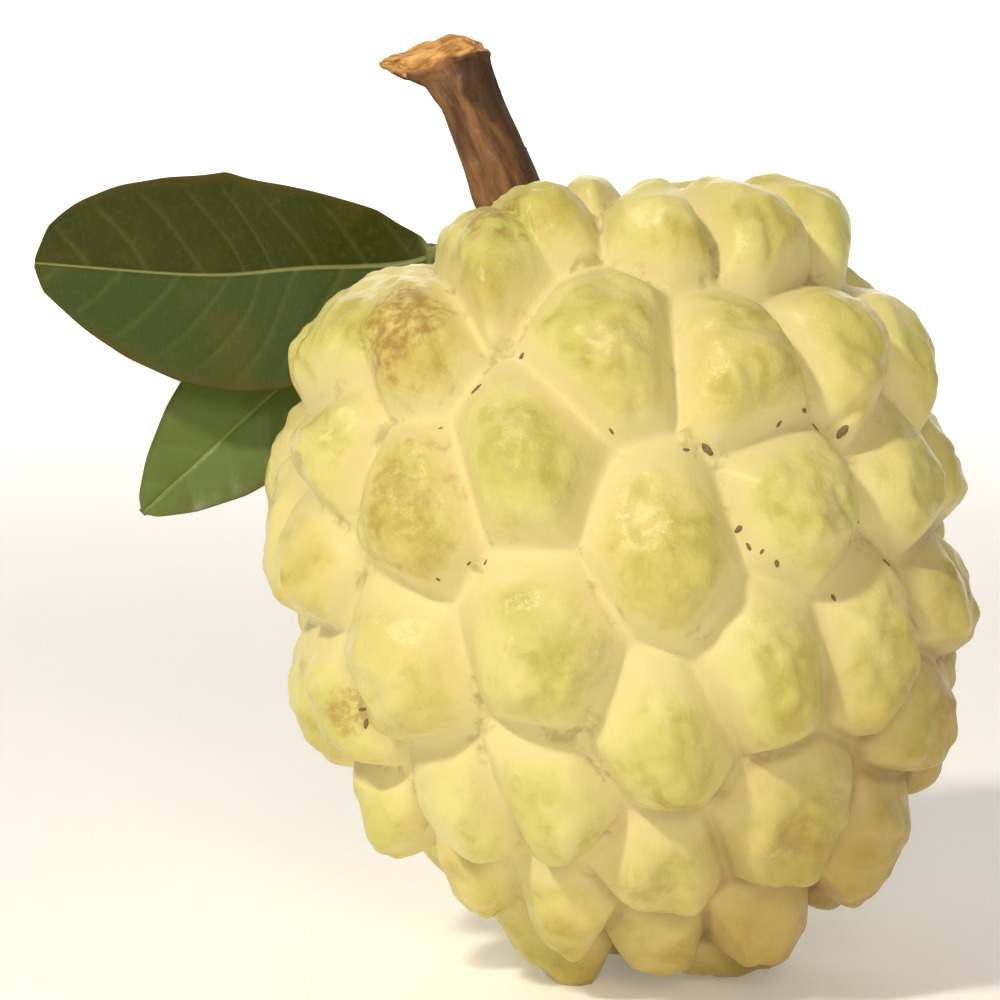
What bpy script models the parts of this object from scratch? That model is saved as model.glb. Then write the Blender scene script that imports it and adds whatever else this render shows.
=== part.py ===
"""Custard apple, as picked, with its twig and two leaves.

The fruit is one grown body: a skin of crowded knobs with valleys between them, its axis leaning
to the left and slightly back, resting on the flats of the lowest knobs.  The twig stands in the
dimple at the stalk end, and the leaf stalks reach towards the twig's foot.

Lengths are millimetres until a mesh is made, and metres from there on.  The shapes are worked out
round the fruit's centre, +X right, +Y away, +Z up, and the finished object stands on Z = 0.
"""

import math

import bmesh
import bpy
import numpy as np
from mathutils import Matrix, Vector

MM = 0.001

# ---- driving dimensions -------------------------------------------------------------------
WAIST_RADIUS = 38.9        # envelope over the knobs, at the waist
CROWN_HEIGHT = 45.0        # from the centre to the stalk end
TIP_HEIGHT = 46.0          # from the centre to the blossom end
CROWN_SQUARENESS = 2.35    # the crown has broad shoulders
TIP_SQUARENESS = 1.80      # the blossom end is more pointed
RIGHT_FULLNESS = 2.2       # its right shoulder and foot bulge beyond its left
RADIUS_LIMIT = 60.0        # keeps the unused half of the envelope finite at the poles
LEAN_LEFT = 15.0           # degrees, the fruit's axis
LEAN_BACK = 8.0
DIMPLE_DEPTH = 4.0         # hollow round the twig
DIMPLE_SPREAD = 11.0       # degrees

SADDLE_DEPTH = 4.4         # dent behind the twig, where the leaf stalks lie
SADDLE_SPREAD = 17.0       # degrees
SADDLE_AT = (-142.0, 33.0)  # degrees round the axis, and down from the stalk

KNOB_WIDTH = 9.0           # half sizes of a usual knob, before its neighbours crowd it
KNOB_LENGTH = 10.4
KNOB_REACH = 78.0          # degrees, beyond which a knob has no say
VALLEY_DEPTH = 3.7
SHOULDER = 4.6             # how far in from a valley a knob levels out
SHOULDER_LEAN = 0.30       # how much shorter that is at a knob's lower end, and longer above
SHOULDER_ROUND = 2.2       # power of the shoulder's curve
VALLEY_FLOOR = 0.9         # rounding of the valley bottom
VALLEY_POWER = 4.0         # how softly neighbouring valleys run into each other
SMALL_KNOB_DEPTH = 0.55    # share of the valley depth that even the smallest knob has
CROWNING = 1.1             # how much a knob's face domes
TILT = 1.6                 # how far a knob's lower end stands out
KNOBS_IN_ALL = 78
KNOB_SPACING = 19.0        # degrees, nearest a filled-in knob starts to its neighbour
SPREAD_ROUNDS = 40         # how often the filled-in knobs push one another apart
SPREAD_STEP = 0.0006
SPREAD_DAMPING = 0.02      # keeps the strongest pushes from overshooting
UNEVEN_HEIGHT = 0.7        # how far the filled-in knobs differ in height, clear of the foot
UNEVEN_SIZE = 0.07         # and in size, as a share
TWIG_CLEARING = 13.0       # degrees left free of knobs round the twig

REST_FLAT = 1.6            # how far the lowest knobs are pressed flat
FRUIT_SPHERE_LEVEL = 6
FRUIT_KEEP = 0.27          # share of the sphere's triangles that the fruit keeps

TWIG_RADIUS = 3.9
TWIG_NECK_RADIUS = 3.5
TWIG_LENGTH = 22.0         # from its foot to the neck under the torn heel
TWIG_LEAN_LEFT = 22.0
TWIG_FOOT = 35.0           # height of its foot along the fruit's axis
TWIG_SIDES = 18
SOCKET_DEPTH = 14.0        # the hole for its foot, which runs out into the dimple
HEEL_HEIGHT = 5.0
HEEL_TONGUE = 4.4          # how far the torn tongue reaches beyond the twig
GAP = 0.3

LEAF_THICKNESS = 0.8
RIB_THICKNESS = 1.5
PETIOLE_RADIUS = 0.85

# Knobs placed one by one, on the side that faces front: degrees round the axis from the front,
# degrees down from the stalk, extra height, and how wide and long beside a usual knob.
PLACED_KNOBS = (
    (-57, 40, 0.6, 0.92, 1.00), (-33, 41, 0.6, 0.92, 1.00), (-15, 30, 1.3, 0.88, 1.10),
    (7, 23, 1.3, 0.85, 1.00), (22, 20, 0.5, 0.70, 0.70), (34, 33, 1.0, 0.90, 0.95),
    (52, 40, 0.8, 1.00, 1.00), (76, 43, 1.5, 0.92, 1.00), (-55, 56, 0.0, 0.95, 1.00),
    (7, 52, 0.3, 1.00, 1.05), (30, 62, 0.0, 1.00, 1.00), (54, 63, 0.0, 1.00, 1.00),
    (79, 64, 0.0, 0.90, 1.00), (-64, 74, 0.0, 0.95, 0.90), (-36, 69, 0.0, 1.02, 1.00),
    (-12, 66, 0.0, 1.00, 1.05), (7, 86, 0.0, 1.00, 1.10), (32, 85, 0.0, 1.00, 1.05),
    (62, 86, 0.0, 0.95, 1.00), (-68, 99, 0.0, 0.90, 1.00), (-48, 94, 0.0, 1.10, 1.05),
    (-18, 97, 0.0, 1.05, 1.10), (66, 108, 0.0, 0.90, 0.90), (-76, 118, 2.0, 0.90, 0.85),
    (-48, 122, 0.0, 0.90, 0.90), (-28, 125, 0.0, 1.00, 0.95), (-2, 119, 0.0, 1.00, 1.05),
    (20, 111, 0.0, 1.00, 1.05), (43, 111, 0.0, 1.00, 1.00), (61, 127, 0.0, 0.95, 0.95),
    (-65, 135, 0.0, 0.85, 0.80), (-47, 147, 0.0, 0.95, 0.85), (-12, 144, 0.0, 1.00, 0.90),
    (23, 141, 0.0, 1.05, 1.00), (57, 147, 0.0, 0.95, 0.95), (-25, 160, 0.0, 0.90, 0.80),
    (18, 162, 0.0, 0.95, 0.85),
    # the rim, where the front turns to the back
    (108, 24, -3.6, 0.90, 0.90), (92, 86, 0.9, 0.90, 0.95), (90, 109, -0.8, 0.90, 0.95),
    (88, 131, -3.0, 0.95, 0.95), (98, 152, -2.2, 0.90, 0.85), (-86, 70, -0.6, 0.90, 0.90),
    (-90, 97, 0.3, 0.90, 1.00), (-100, 128, -2.8, 0.90, 0.90),
    # the three that carry the fruit's weight
    (-147, 154, 1.9, 0.90, 0.85), (-92, 153, 2.1, 0.90, 0.85), (-107, 177, -0.2, 0.95, 0.90),
)

# Placed knobs that have grown together, with only a soft dent between them.
TWINS = ((0, 1), (2, 3))


def clear_scene():
    for obj in list(bpy.data.objects):
        bpy.data.objects.remove(obj)


def principled(name, colour, roughness):
    material = bpy.data.materials.new(name)
    material.use_nodes = True
    shader = material.node_tree.nodes["Principled BSDF"]
    shader.inputs["Base Color"].default_value = (*colour, 1.0)
    shader.inputs["Roughness"].default_value = roughness
    shader.inputs["Metallic"].default_value = 0.0
    return material


def add_object(name, mesh, material):
    mesh.materials.append(material)
    obj = bpy.data.objects.new(name, mesh)
    bpy.context.scene.collection.objects.link(obj)
    return obj


# ---- the fruit ----------------------------------------------------------------------------
def directions(turn, drop):
    """Unit vectors from degrees round the axis and degrees down from the stalk."""
    turn, drop = np.radians(turn), np.radians(drop)
    return np.stack([np.sin(drop) * np.sin(turn), -np.sin(drop) * np.cos(turn), np.cos(drop)], -1)


def envelope(unit):
    """Radius of the surface that touches the tops of the knobs."""
    side = np.maximum(np.hypot(unit[..., 0], unit[..., 1]), 1e-9) / WAIST_RADIUS
    height = unit[..., 2]
    up = np.maximum(height, 0.0) / CROWN_HEIGHT
    down = np.maximum(-height, 0.0) / TIP_HEIGHT
    p, q = CROWN_SQUARENESS, TIP_SQUARENESS
    crown = (side ** p + up ** p) ** (-1.0 / p)
    tip = (side ** q + down ** q) ** (-1.0 / q)
    radius = np.minimum(np.where(height > 0.0, crown, tip), RADIUS_LIMIT)
    radius = radius + RIGHT_FULLNESS * 2.0 * np.maximum(unit[..., 0], 0.0) * np.abs(height)
    from_stalk = np.degrees(np.arccos(np.clip(height, -1.0, 1.0)))
    from_saddle = np.degrees(np.arccos(np.clip(unit @ directions(*SADDLE_AT), -1.0, 1.0)))
    return (radius - DIMPLE_DEPTH * np.exp(-(from_stalk / DIMPLE_SPREAD) ** 2)
            - SADDLE_DEPTH * np.exp(-(from_saddle / SADDLE_SPREAD) ** 2))


def all_knobs():
    """The placed knobs, and the rest crowded evenly over what they leave free."""
    placed = np.array(PLACED_KNOBS)
    fixed = directions(placed[:, 0], placed[:, 1])
    count = np.arange(KNOBS_IN_ALL) + 0.5
    golden_angle = 180.0 * (3.0 - math.sqrt(5.0))
    spiral = directions(golden_angle * count, np.degrees(np.arccos(1 - 2 * count / KNOBS_IN_ALL)))
    free = (spiral @ fixed.T).max(1) < math.cos(math.radians(KNOB_SPACING))
    free &= spiral[:, 2] < math.cos(math.radians(TWIG_CLEARING))
    filled = spiral[free]
    stalk = np.array([[0.0, 0.0, 1.0]])
    for _ in range(SPREAD_ROUNDS):
        others = np.vstack([fixed, filled, stalk])
        apart = filled[:, None] - others[None]
        gap = np.linalg.norm(apart, axis=-1, keepdims=True)
        push = np.where(gap > 1e-6, apart / np.maximum(gap, 1e-6) ** 5, 0.0).sum(1)
        strength = np.linalg.norm(push, axis=-1, keepdims=True)
        filled = filled + SPREAD_STEP * push / (1.0 + SPREAD_DAMPING * strength)
        filled /= np.linalg.norm(filled, axis=-1, keepdims=True)
    size = np.interp(filled[:, 2], (-0.98, -0.7, 0.7, 0.95), (0.85, 1.0, 1.0, 0.8))
    count = np.arange(len(filled))
    above = filled[:, 2] > -0.6
    height = above * UNEVEN_HEIGHT * np.sin(5.0 * count)
    size = size * (1.0 + above * UNEVEN_SIZE * np.sin(3.0 * count))
    return (np.vstack([fixed, filled]),
            np.concatenate([placed[:, 2], height]),
            np.concatenate([placed[:, 3], size]),
            np.concatenate([placed[:, 4], size]))


def knob_frames(tops):
    """For each knob, the direction round the axis and the direction down the fruit."""
    round_axis = np.stack([-tops[:, 1], tops[:, 0], np.zeros(len(tops))], -1)
    round_axis /= np.linalg.norm(round_axis, axis=-1, keepdims=True)
    down = np.cross(tops, round_axis)
    down *= np.where(down[:, 2:] > 0.0, -1.0, 1.0)
    return round_axis, down


def skin_radius(unit, knobs):
    """Distance from the fruit's centre to its skin along each unit vector."""
    tops, extra, wide, long = knobs
    round_axis, down = knob_frames(tops)
    base = envelope(unit)[:, None]
    angle = np.arccos(np.clip(unit @ tops.T, -1.0, 1.0))
    stretch = base * angle / np.maximum(np.sin(angle), 1e-4)
    across = (unit @ round_axis.T) * stretch / wide
    along = (unit @ down.T) * stretch / long * (KNOB_WIDTH / KNOB_LENGTH)
    reach = np.where(angle < math.radians(KNOB_REACH), across ** 2 + along ** 2, 1e4)
    rows = np.arange(len(unit))
    own = reach.argmin(1)
    nearest = reach[rows, own]
    apart = WAIST_RADIUS * np.arccos(np.clip(tops @ tops.T, -1.0, 1.0))[own]
    to_each = (reach - nearest[:, None]) / (2.0 * np.maximum(apart, KNOB_WIDTH / 2))
    to_each[rows, own] = 1e3
    for first, second in TWINS:
        to_each[own == first, second] = 1e3
        to_each[own == second, first] = 1e3
    to_valley = (np.maximum(to_each, 1e-3) ** -VALLEY_POWER).sum(1) ** (-1.0 / VALLEY_POWER)
    to_valley = np.hypot(to_valley, VALLEY_FLOOR) - VALLEY_FLOOR
    lower = np.clip(along[rows, own] / KNOB_WIDTH, -1.0, 1.0)
    inward = np.clip(to_valley / (SHOULDER * (1.0 - SHOULDER_LEAN * lower)), 0.0, 1.0)
    fullness = SMALL_KNOB_DEPTH + (1.0 - SMALL_KNOB_DEPTH) * np.minimum(wide, long)[own]
    rise = VALLEY_DEPTH * fullness * (1.0 - (1.0 - inward) ** SHOULDER_ROUND)
    face = (TILT * lower + extra[own]) * inward - CROWNING * nearest / KNOB_WIDTH ** 2
    return base[:, 0] - VALLEY_DEPTH + rise + face


def lean_matrix(left, back):
    return Matrix.Rotation(math.radians(-back), 3, "X") @ Matrix.Rotation(math.radians(-left), 3, "Y")


def make_fruit(material):
    """A fine displaced sphere, thinned, leant over and pressed flat where it rests."""
    sphere = bmesh.new()
    bmesh.ops.create_icosphere(sphere, subdivisions=FRUIT_SPHERE_LEVEL, radius=1.0)
    unit = np.array([v.co for v in sphere.verts])
    unit /= np.linalg.norm(unit, axis=1, keepdims=True)
    radius = skin_radius(unit, all_knobs())
    lean = lean_matrix(LEAN_LEFT, LEAN_BACK)
    for vert, direction, length in zip(sphere.verts, unit, radius):
        vert.co = lean @ Vector(direction * length * MM)
    mesh = bpy.data.meshes.new("fruit_skin")
    sphere.to_mesh(mesh)
    sphere.free()
    full = bpy.data.objects.new("fruit_skin", mesh)
    bpy.context.scene.collection.objects.link(full)
    thin = full.modifiers.new("thin", "DECIMATE")
    thin.ratio = FRUIT_KEEP
    depsgraph = bpy.context.evaluated_depsgraph_get()
    thinned = bpy.data.meshes.new_from_object(full.evaluated_get(depsgraph))
    bpy.data.objects.remove(full)
    bpy.data.meshes.remove(mesh)

    body = bmesh.new()
    body.from_mesh(thinned)
    floor = min(v.co.z for v in body.verts) + REST_FLAT * MM
    whole = body.verts[:] + body.edges[:] + body.faces[:]
    cut = bmesh.ops.bisect_plane(body, geom=whole, dist=1e-7, plane_co=(0, 0, floor),
                                 plane_no=(0, 0, -1), clear_outer=True)
    rims = [e for e in cut["geom_cut"] if isinstance(e, bmesh.types.BMEdge)]
    bmesh.ops.holes_fill(body, edges=rims, sides=0)
    body.to_mesh(thinned)
    body.free()
    thinned.shade_smooth()

    fruit = add_object("fruit", thinned, material)
    socket = add_socket_cutter()
    hollow = fruit.modifiers.new("twig_socket", "BOOLEAN")
    hollow.operation = "DIFFERENCE"
    hollow.object = socket
    return fruit, socket, floor


# ---- the twig -----------------------------------------------------------------------------
def twig_axis():
    """The twig's foot and its direction, from the fruit's centre."""
    foot = lean_matrix(LEAN_LEFT, LEAN_BACK) @ Vector((0, 0, TWIG_FOOT))
    along = lean_matrix(TWIG_LEAN_LEFT, LEAN_BACK) @ Vector((0, 0, 1))
    return foot, along


def beside_twig(height, towards):
    """A point just clear of the twig's side, on the way to another point."""
    foot, along = twig_axis()
    on_axis = foot + along * height
    out = Vector(towards) - on_axis
    out -= along * out.dot(along)
    return on_axis + out.normalized() * (TWIG_RADIUS + 1.4 * GAP)


def add_socket_cutter():
    """A round hole a little larger than the twig's foot."""
    foot, along = twig_axis()
    cutter = bmesh.new()
    bmesh.ops.create_cone(cutter, cap_ends=True, segments=20, radius1=(TWIG_RADIUS + GAP) * MM,
                          radius2=(TWIG_RADIUS + GAP) * MM, depth=SOCKET_DEPTH * MM)
    place = Matrix.Translation((foot + along * (SOCKET_DEPTH / 2 - GAP)) * MM)
    place @= lean_matrix(TWIG_LEAN_LEFT, LEAN_BACK).to_4x4()
    bmesh.ops.transform(cutter, matrix=place, verts=cutter.verts[:])
    mesh = bpy.data.meshes.new("socket_cutter")
    cutter.to_mesh(mesh)
    cutter.free()
    obj = bpy.data.objects.new("socket_cutter", mesh)
    bpy.context.scene.collection.objects.link(obj)
    obj.hide_render = True
    obj.display_type = "WIRE"
    return obj


def loft(name, sections):
    """One closed skin over a row of point loops of equal length."""
    body = bmesh.new()
    loops = [[body.verts.new(point * MM) for point in section] for section in sections]
    for low, high in zip(loops, loops[1:]):
        for i in range(len(low)):
            j = (i + 1) % len(low)
            body.faces.new((low[i], low[j], high[j], high[i]))
    body.faces.new(loops[0][::-1])
    body.faces.new(loops[-1])
    bmesh.ops.recalc_face_normals(body, faces=body.faces[:])
    mesh = bpy.data.meshes.new(name)
    body.to_mesh(mesh)
    body.free()
    mesh.shade_smooth()
    mesh.set_sharp_from_angle(angle=math.radians(40))
    return mesh


def make_twig(material):
    """A straight woody shoot that ends in the torn heel, its tongue pointing left."""
    foot, along = twig_axis()
    turn = lean_matrix(TWIG_LEAN_LEFT, LEAN_BACK)
    right, away = turn @ Vector((1, 0, 0)), turn @ Vector((0, 1, 0))
    # height along the twig, radius, how far the heel's tongue stands out, slope of the section
    heel = TWIG_LENGTH
    stations = [(height, TWIG_RADIUS, 0.0, 0.0) for height in (0.0, 2.0, 4.0)]
    for share in (0.3, 0.5, 0.7, 0.85, 1.0):
        radius = TWIG_RADIUS + (TWIG_NECK_RADIUS - TWIG_RADIUS) * share
        stations.append((heel * share, radius, 0.0, 0.0))
    stations += [
        (heel + HEEL_HEIGHT * 0.25, TWIG_NECK_RADIUS + 0.1, HEEL_TONGUE * 0.25, 0.10),
        (heel + HEEL_HEIGHT * 0.50, TWIG_NECK_RADIUS + 0.2, HEEL_TONGUE * 0.75, 0.20),
        (heel + HEEL_HEIGHT * 0.70, TWIG_NECK_RADIUS + 0.1, HEEL_TONGUE, 0.20),
        (heel + HEEL_HEIGHT * 0.90, TWIG_NECK_RADIUS - 0.5, HEEL_TONGUE * 0.60, 0.15),
        (heel + HEEL_HEIGHT * 1.00, TWIG_NECK_RADIUS - 1.6, HEEL_TONGUE * 0.20, 0.10),
    ]
    sections = []
    for height, radius, tongue, slope in stations:
        section = []
        for step in range(TWIG_SIDES):
            angle = math.tau * step / TWIG_SIDES
            left = max(0.0, -math.cos(angle))
            reach = radius + tongue * left ** 4
            x, y = reach * math.cos(angle), reach * math.sin(angle)
            section.append(foot + right * x + away * y + along * (height - slope * x))
        sections.append(section)
    return add_object("stalk", loft("stalk", sections), material)


# ---- the leaves ---------------------------------------------------------------------------
def curve_point(points, t):
    """A smooth curve through the points, t from 0 to 1."""
    spans = len(points) - 1
    index = min(int(t * spans), spans - 1)
    s = t * spans - index
    p1, p2 = points[index], points[index + 1]
    p0 = points[index - 1] if index else p1 * 2 - p2
    p3 = points[index + 2] if index + 2 <= spans else p2 * 2 - p1
    return 0.5 * (2 * p1 + (p2 - p0) * s + (2 * p0 - 5 * p1 + 4 * p2 - p3) * s ** 2
                  + (3 * p1 - p0 - 3 * p2 + p3) * s ** 3)


def make_leaf(name, rib, blade_start, half_widths, side, fold, material):
    """A blade on its stalk: rib points from the twig to the tip, and two half widths."""
    rib = [Vector(point) for point in rib]
    side = Vector(side).normalized()
    steps, across = 26, 4
    sections = []
    for step in range(steps + 1):
        t = step / steps
        centre = curve_point(rib, t)
        tangent = (curve_point(rib, min(t + 0.01, 1.0)) - curve_point(rib, max(t - 0.01, 0.0)))
        tangent.normalize()
        wide = (side - tangent * side.dot(tangent)).normalized()
        normal = tangent.cross(wide)
        if normal.y > 0:
            normal = -normal
        blade = max(0.0, (t - blade_start) / (1.0 - blade_start))
        outline = math.sin(math.pi * blade ** 0.9) ** 0.65 if 0.0 < blade < 1.0 else 0.0
        rib_half = (RIB_THICKNESS - (RIB_THICKNESS - LEAF_THICKNESS) * min(blade * 2, 1.0)) / 2
        top, bottom = [], []
        for i in range(-across, across + 1):
            v = i / across
            offset = v * max(PETIOLE_RADIUS * (1.0 - 0.5 * blade), half_widths[v < 0] * outline)
            half = rib_half + (LEAF_THICKNESS / 2 - rib_half) * abs(v)
            point = centre + wide * offset + normal * (fold * abs(offset))
            top.append(point + normal * half)
            bottom.append(point - normal * half)
        sections.append(top + bottom[::-1])
    return add_object(name, loft(name, sections), material)


def seat_shift(objects, floor):
    """The shift that centres the box over the origin and puts the flats at Z = 0."""
    low, high = Vector((1e9,) * 3), Vector((-1e9,) * 3)
    for obj in objects:
        for vert in obj.data.vertices:
            low = Vector(map(min, low, vert.co))
            high = Vector(map(max, high, vert.co))
    return Vector((-(low.x + high.x) / 2, -(low.y + high.y) / 2, -floor))


def main():
    clear_scene()
    skin = principled("fruit_skin", (0.66, 0.58, 0.20), 0.5)
    bark = principled("twig_bark", (0.23, 0.11, 0.045), 0.8)
    dark_leaf = principled("leaf_dark_green", (0.045, 0.075, 0.012), 0.45)
    light_leaf = principled("leaf_light_green", (0.09, 0.13, 0.03), 0.45)

    fruit, socket, floor = make_fruit(skin)
    twig = make_twig(bark)
    upper_rib = ((-21.8, 25.9, 32.6), (-36.3, 26.1, 31.4), (-47.7, 25.5, 30.7), (-66.6, 23.9, 32.2))
    upper = make_leaf(
        "leaf_upper", rib=(beside_twig(8.5, upper_rib[0]), *upper_rib), blade_start=0.22,
        half_widths=(11.4, 13.0), side=(0.0, 0.10, 1.0), fold=0.16, material=dark_leaf)
    lower_rib = ((-16.5, 28.4, 35.6), (-26.0, 32.3, 27.4), (-35.5, 31.4, 20.0), (-45.5, 29.4, 11.2),
                 (-54.9, 26.9, 2.8))
    lower = make_leaf(
        "leaf_lower", rib=(beside_twig(6.5, lower_rib[0]), *lower_rib), blade_start=0.26,
        half_widths=(9.5, 8.5), side=(-0.7, 0.1, 0.7), fold=0.12, material=light_leaf)

    pieces = [fruit, twig, upper, lower]
    shift = seat_shift(pieces, floor)
    for obj in pieces + [socket]:
        obj.location = shift


main()
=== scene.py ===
"""Looks of a picked custard apple: its knobbly skin, its twig with the torn heel, and two leaves.

Every piece is worked out in millimetres round the fruit's centre, +X right, +Y away, +Z up, and is
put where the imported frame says.  Run as a script, it builds the pieces through their operators.
"""

import math

import bmesh
import bpy
import numpy as np
from mathutils import Matrix, Vector, noise


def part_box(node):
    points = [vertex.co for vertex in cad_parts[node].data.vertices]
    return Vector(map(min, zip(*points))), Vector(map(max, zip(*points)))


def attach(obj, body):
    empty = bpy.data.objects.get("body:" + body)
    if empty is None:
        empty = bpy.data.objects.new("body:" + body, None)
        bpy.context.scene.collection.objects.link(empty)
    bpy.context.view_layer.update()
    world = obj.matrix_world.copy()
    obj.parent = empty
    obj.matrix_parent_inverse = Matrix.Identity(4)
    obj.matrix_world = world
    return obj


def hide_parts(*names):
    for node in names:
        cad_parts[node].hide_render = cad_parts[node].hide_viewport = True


bl_info = {
    "name": "Custard Apple",
    "version": (1, 0, 0),
    "blender": (4, 5, 0),
    "location": "3D View > Sidebar > Custard Apple",
    "description": "Builds a picked custard apple with its twig and leaves",
    "category": "Add Mesh",
}

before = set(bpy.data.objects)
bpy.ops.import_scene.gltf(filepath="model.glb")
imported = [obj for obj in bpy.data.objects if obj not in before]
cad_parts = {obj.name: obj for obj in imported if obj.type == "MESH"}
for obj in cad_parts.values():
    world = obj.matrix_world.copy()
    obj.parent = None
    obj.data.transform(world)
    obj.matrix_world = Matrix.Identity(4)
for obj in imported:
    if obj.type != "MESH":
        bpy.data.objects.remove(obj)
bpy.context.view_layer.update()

MM = 0.001

# the nodes that most finishes are made of
MATH = "ShaderNodeMath"
NOISE = "ShaderNodeTexNoise"
RANGE = "ShaderNodeMapRange"
MIX = "ShaderNodeMix"
FIELD = "ShaderNodeAttribute"   # a number kept on each point of a piece

# ---- the fruit's form, the same as the frame's ---------------------------------------------
WAIST_RADIUS = 38.9         # envelope over the knobs, at the waist
CROWN_HEIGHT = 45.0         # from the centre to the stalk end
TIP_HEIGHT = 46.0           # from the centre to the blossom end
CROWN_SQUARENESS = 2.35     # the crown has broad shoulders
TIP_SQUARENESS = 1.80       # the blossom end is more pointed
RIGHT_FULLNESS = 2.2        # its right shoulder and foot bulge beyond its left
RADIUS_LIMIT = 60.0         # keeps the unused half of the envelope finite at the poles
LEAN_LEFT = 15.0            # degrees, the fruit's axis
LEAN_BACK = 8.0
DIMPLE_DEPTH = 4.0          # hollow round the twig
DIMPLE_SPREAD = 11.0        # degrees
SADDLE_DEPTH = 4.4          # dent behind the twig, where the leaf stalks lie
SADDLE_SPREAD = 17.0
SADDLE_AT = (-142.0, 33.0)  # degrees round the axis, and down from the stalk

KNOB_WIDTH = 9.0            # half sizes of a usual knob, before its neighbours crowd it
KNOB_LENGTH = 10.4
KNOBS_IN_ALL = 78
KNOB_SPACING = 19.0         # degrees, nearest a filled-in knob starts to its neighbour
SPREAD_ROUNDS = 40          # how often the filled-in knobs push one another apart
SPREAD_STEP = 0.0006
SPREAD_DAMPING = 0.02       # keeps the strongest pushes from overshooting
UNEVEN_HEIGHT = 0.7         # how far the filled-in knobs differ in height, clear of the foot
UNEVEN_SIZE = 0.07          # and in size, as a share
TWIG_CLEARING = 13.0        # degrees left free of knobs round the twig

# Knobs on the side that faces front: degrees round the axis from the front, degrees down from
# the stalk, extra height, and how wide and long beside a usual knob.
PLACED_KNOBS = (
    (-57, 40, 0.6, 0.92, 1.00), (-33, 41, 0.6, 0.92, 1.00), (-15, 30, 1.3, 0.88, 1.10),
    (7, 23, 1.3, 0.85, 1.00), (22, 20, 0.5, 0.70, 0.70), (34, 33, 1.0, 0.90, 0.95),
    (52, 40, 0.8, 1.00, 1.00), (76, 43, 1.5, 0.92, 1.00), (-55, 56, 0.0, 0.95, 1.00),
    (7, 52, 0.3, 1.00, 1.05), (30, 62, 0.0, 1.00, 1.00), (54, 63, 0.0, 1.00, 1.00),
    (79, 64, 0.0, 0.90, 1.00), (-64, 74, 0.0, 0.95, 0.90), (-36, 69, 0.0, 1.02, 1.00),
    (-12, 66, 0.0, 1.00, 1.05), (7, 86, 0.0, 1.00, 1.10), (32, 85, 0.0, 1.00, 1.05),
    (62, 86, 0.0, 0.95, 1.00), (-68, 99, 0.0, 0.90, 1.00), (-48, 94, 0.0, 1.10, 1.05),
    (-18, 97, 0.0, 1.05, 1.10), (66, 108, 0.0, 0.90, 0.90), (-76, 118, 2.0, 0.90, 0.85),
    (-48, 122, 0.0, 0.90, 0.90), (-28, 125, 0.0, 1.00, 0.95), (-2, 119, 0.0, 1.00, 1.05),
    (20, 111, 0.0, 1.00, 1.05), (43, 111, 0.0, 1.00, 1.00), (61, 127, 0.0, 0.95, 0.95),
    (-65, 135, 0.0, 0.85, 0.80), (-47, 147, 0.0, 0.95, 0.85), (-12, 144, 0.0, 1.00, 0.90),
    (23, 141, 0.0, 1.05, 1.00), (57, 147, 0.0, 0.95, 0.95), (-25, 160, 0.0, 0.90, 0.80),
    (18, 162, 0.0, 0.95, 0.85),
    # the rim, where the front turns to the back
    (108, 24, -3.6, 0.90, 0.90), (92, 86, 0.9, 0.90, 0.95), (90, 109, -0.8, 0.90, 0.95),
    (88, 131, -3.0, 0.95, 0.95), (98, 152, -2.2, 0.90, 0.85), (-86, 70, -0.6, 0.90, 0.90),
    (-90, 97, 0.3, 0.90, 1.00), (-100, 128, -2.8, 0.90, 0.90),
    # the three that carry the fruit's weight
    (-147, 154, 1.9, 0.90, 0.85), (-92, 153, 2.1, 0.90, 0.85), (-107, 177, -0.2, 0.95, 0.90),
)

# Placed knobs that have grown together, with only a soft dent between them.
TWINS = ((0, 1), (2, 3))

# ---- how the skin is finished --------------------------------------------------------------
SPHERE_CUTS = 127           # each side of the sphere's cube is cut this often
KNOB_REACH = 78.0           # degrees, beyond which a knob has no say
VALLEY_POWER = 3.0          # how softly neighbouring valleys run into each other
TILT = 1.9                  # how far a knob's lower end stands out
CROWNING = 1.1              # how much a knob's face domes
VALLEY_FLOOR = 1.40         # rounding of the valley bottom
SHOULDER_LEAN = 0.40        # how much shorter a knob's lower shoulder is, and longer its upper
SHOULDER_ROUND = 2.2        # power of the shoulder's curve
SMALL_KNOB_DEPTH = 0.55     # share of the valley depth that even the smallest knob has

# Creases: two ends, each degrees round the axis and down from the stalk, then depth and half
# width in millimetres.
CREASES = (
    ((-26, 43), (-22, 54), 0.9, 0.45), ((-5, 29), (-5, 38), 0.8, 0.5),
    ((35, 33), (26, 48), 0.5, 0.6), ((50, 43), (41, 54), 0.6, 0.5),
    ((53, 73), (43, 75), 0.9, 0.6), ((2, 65), (5, 70), 0.6, 0.5),
    ((85, 43), (58, 53), 0.7, 0.5), ((-53, 67), (-44, 70), 0.6, 0.4),
    ((54, 57), (55, 70), 0.4, 0.6), ((10, 61), (7, 67), 0.5, 0.5),
    ((21, 99), (24, 115), 0.3, 0.8), ((-64, 96), (-62, 106), 0.8, 0.6),
    ((36, 84), (42, 95), 0.4, 0.6), ((14, 84), (17, 96), 0.3, 0.8),
    ((26, 112), (24, 122), 0.3, 0.7), ((48, 108), (49, 118), 0.5, 0.5),
)

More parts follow.
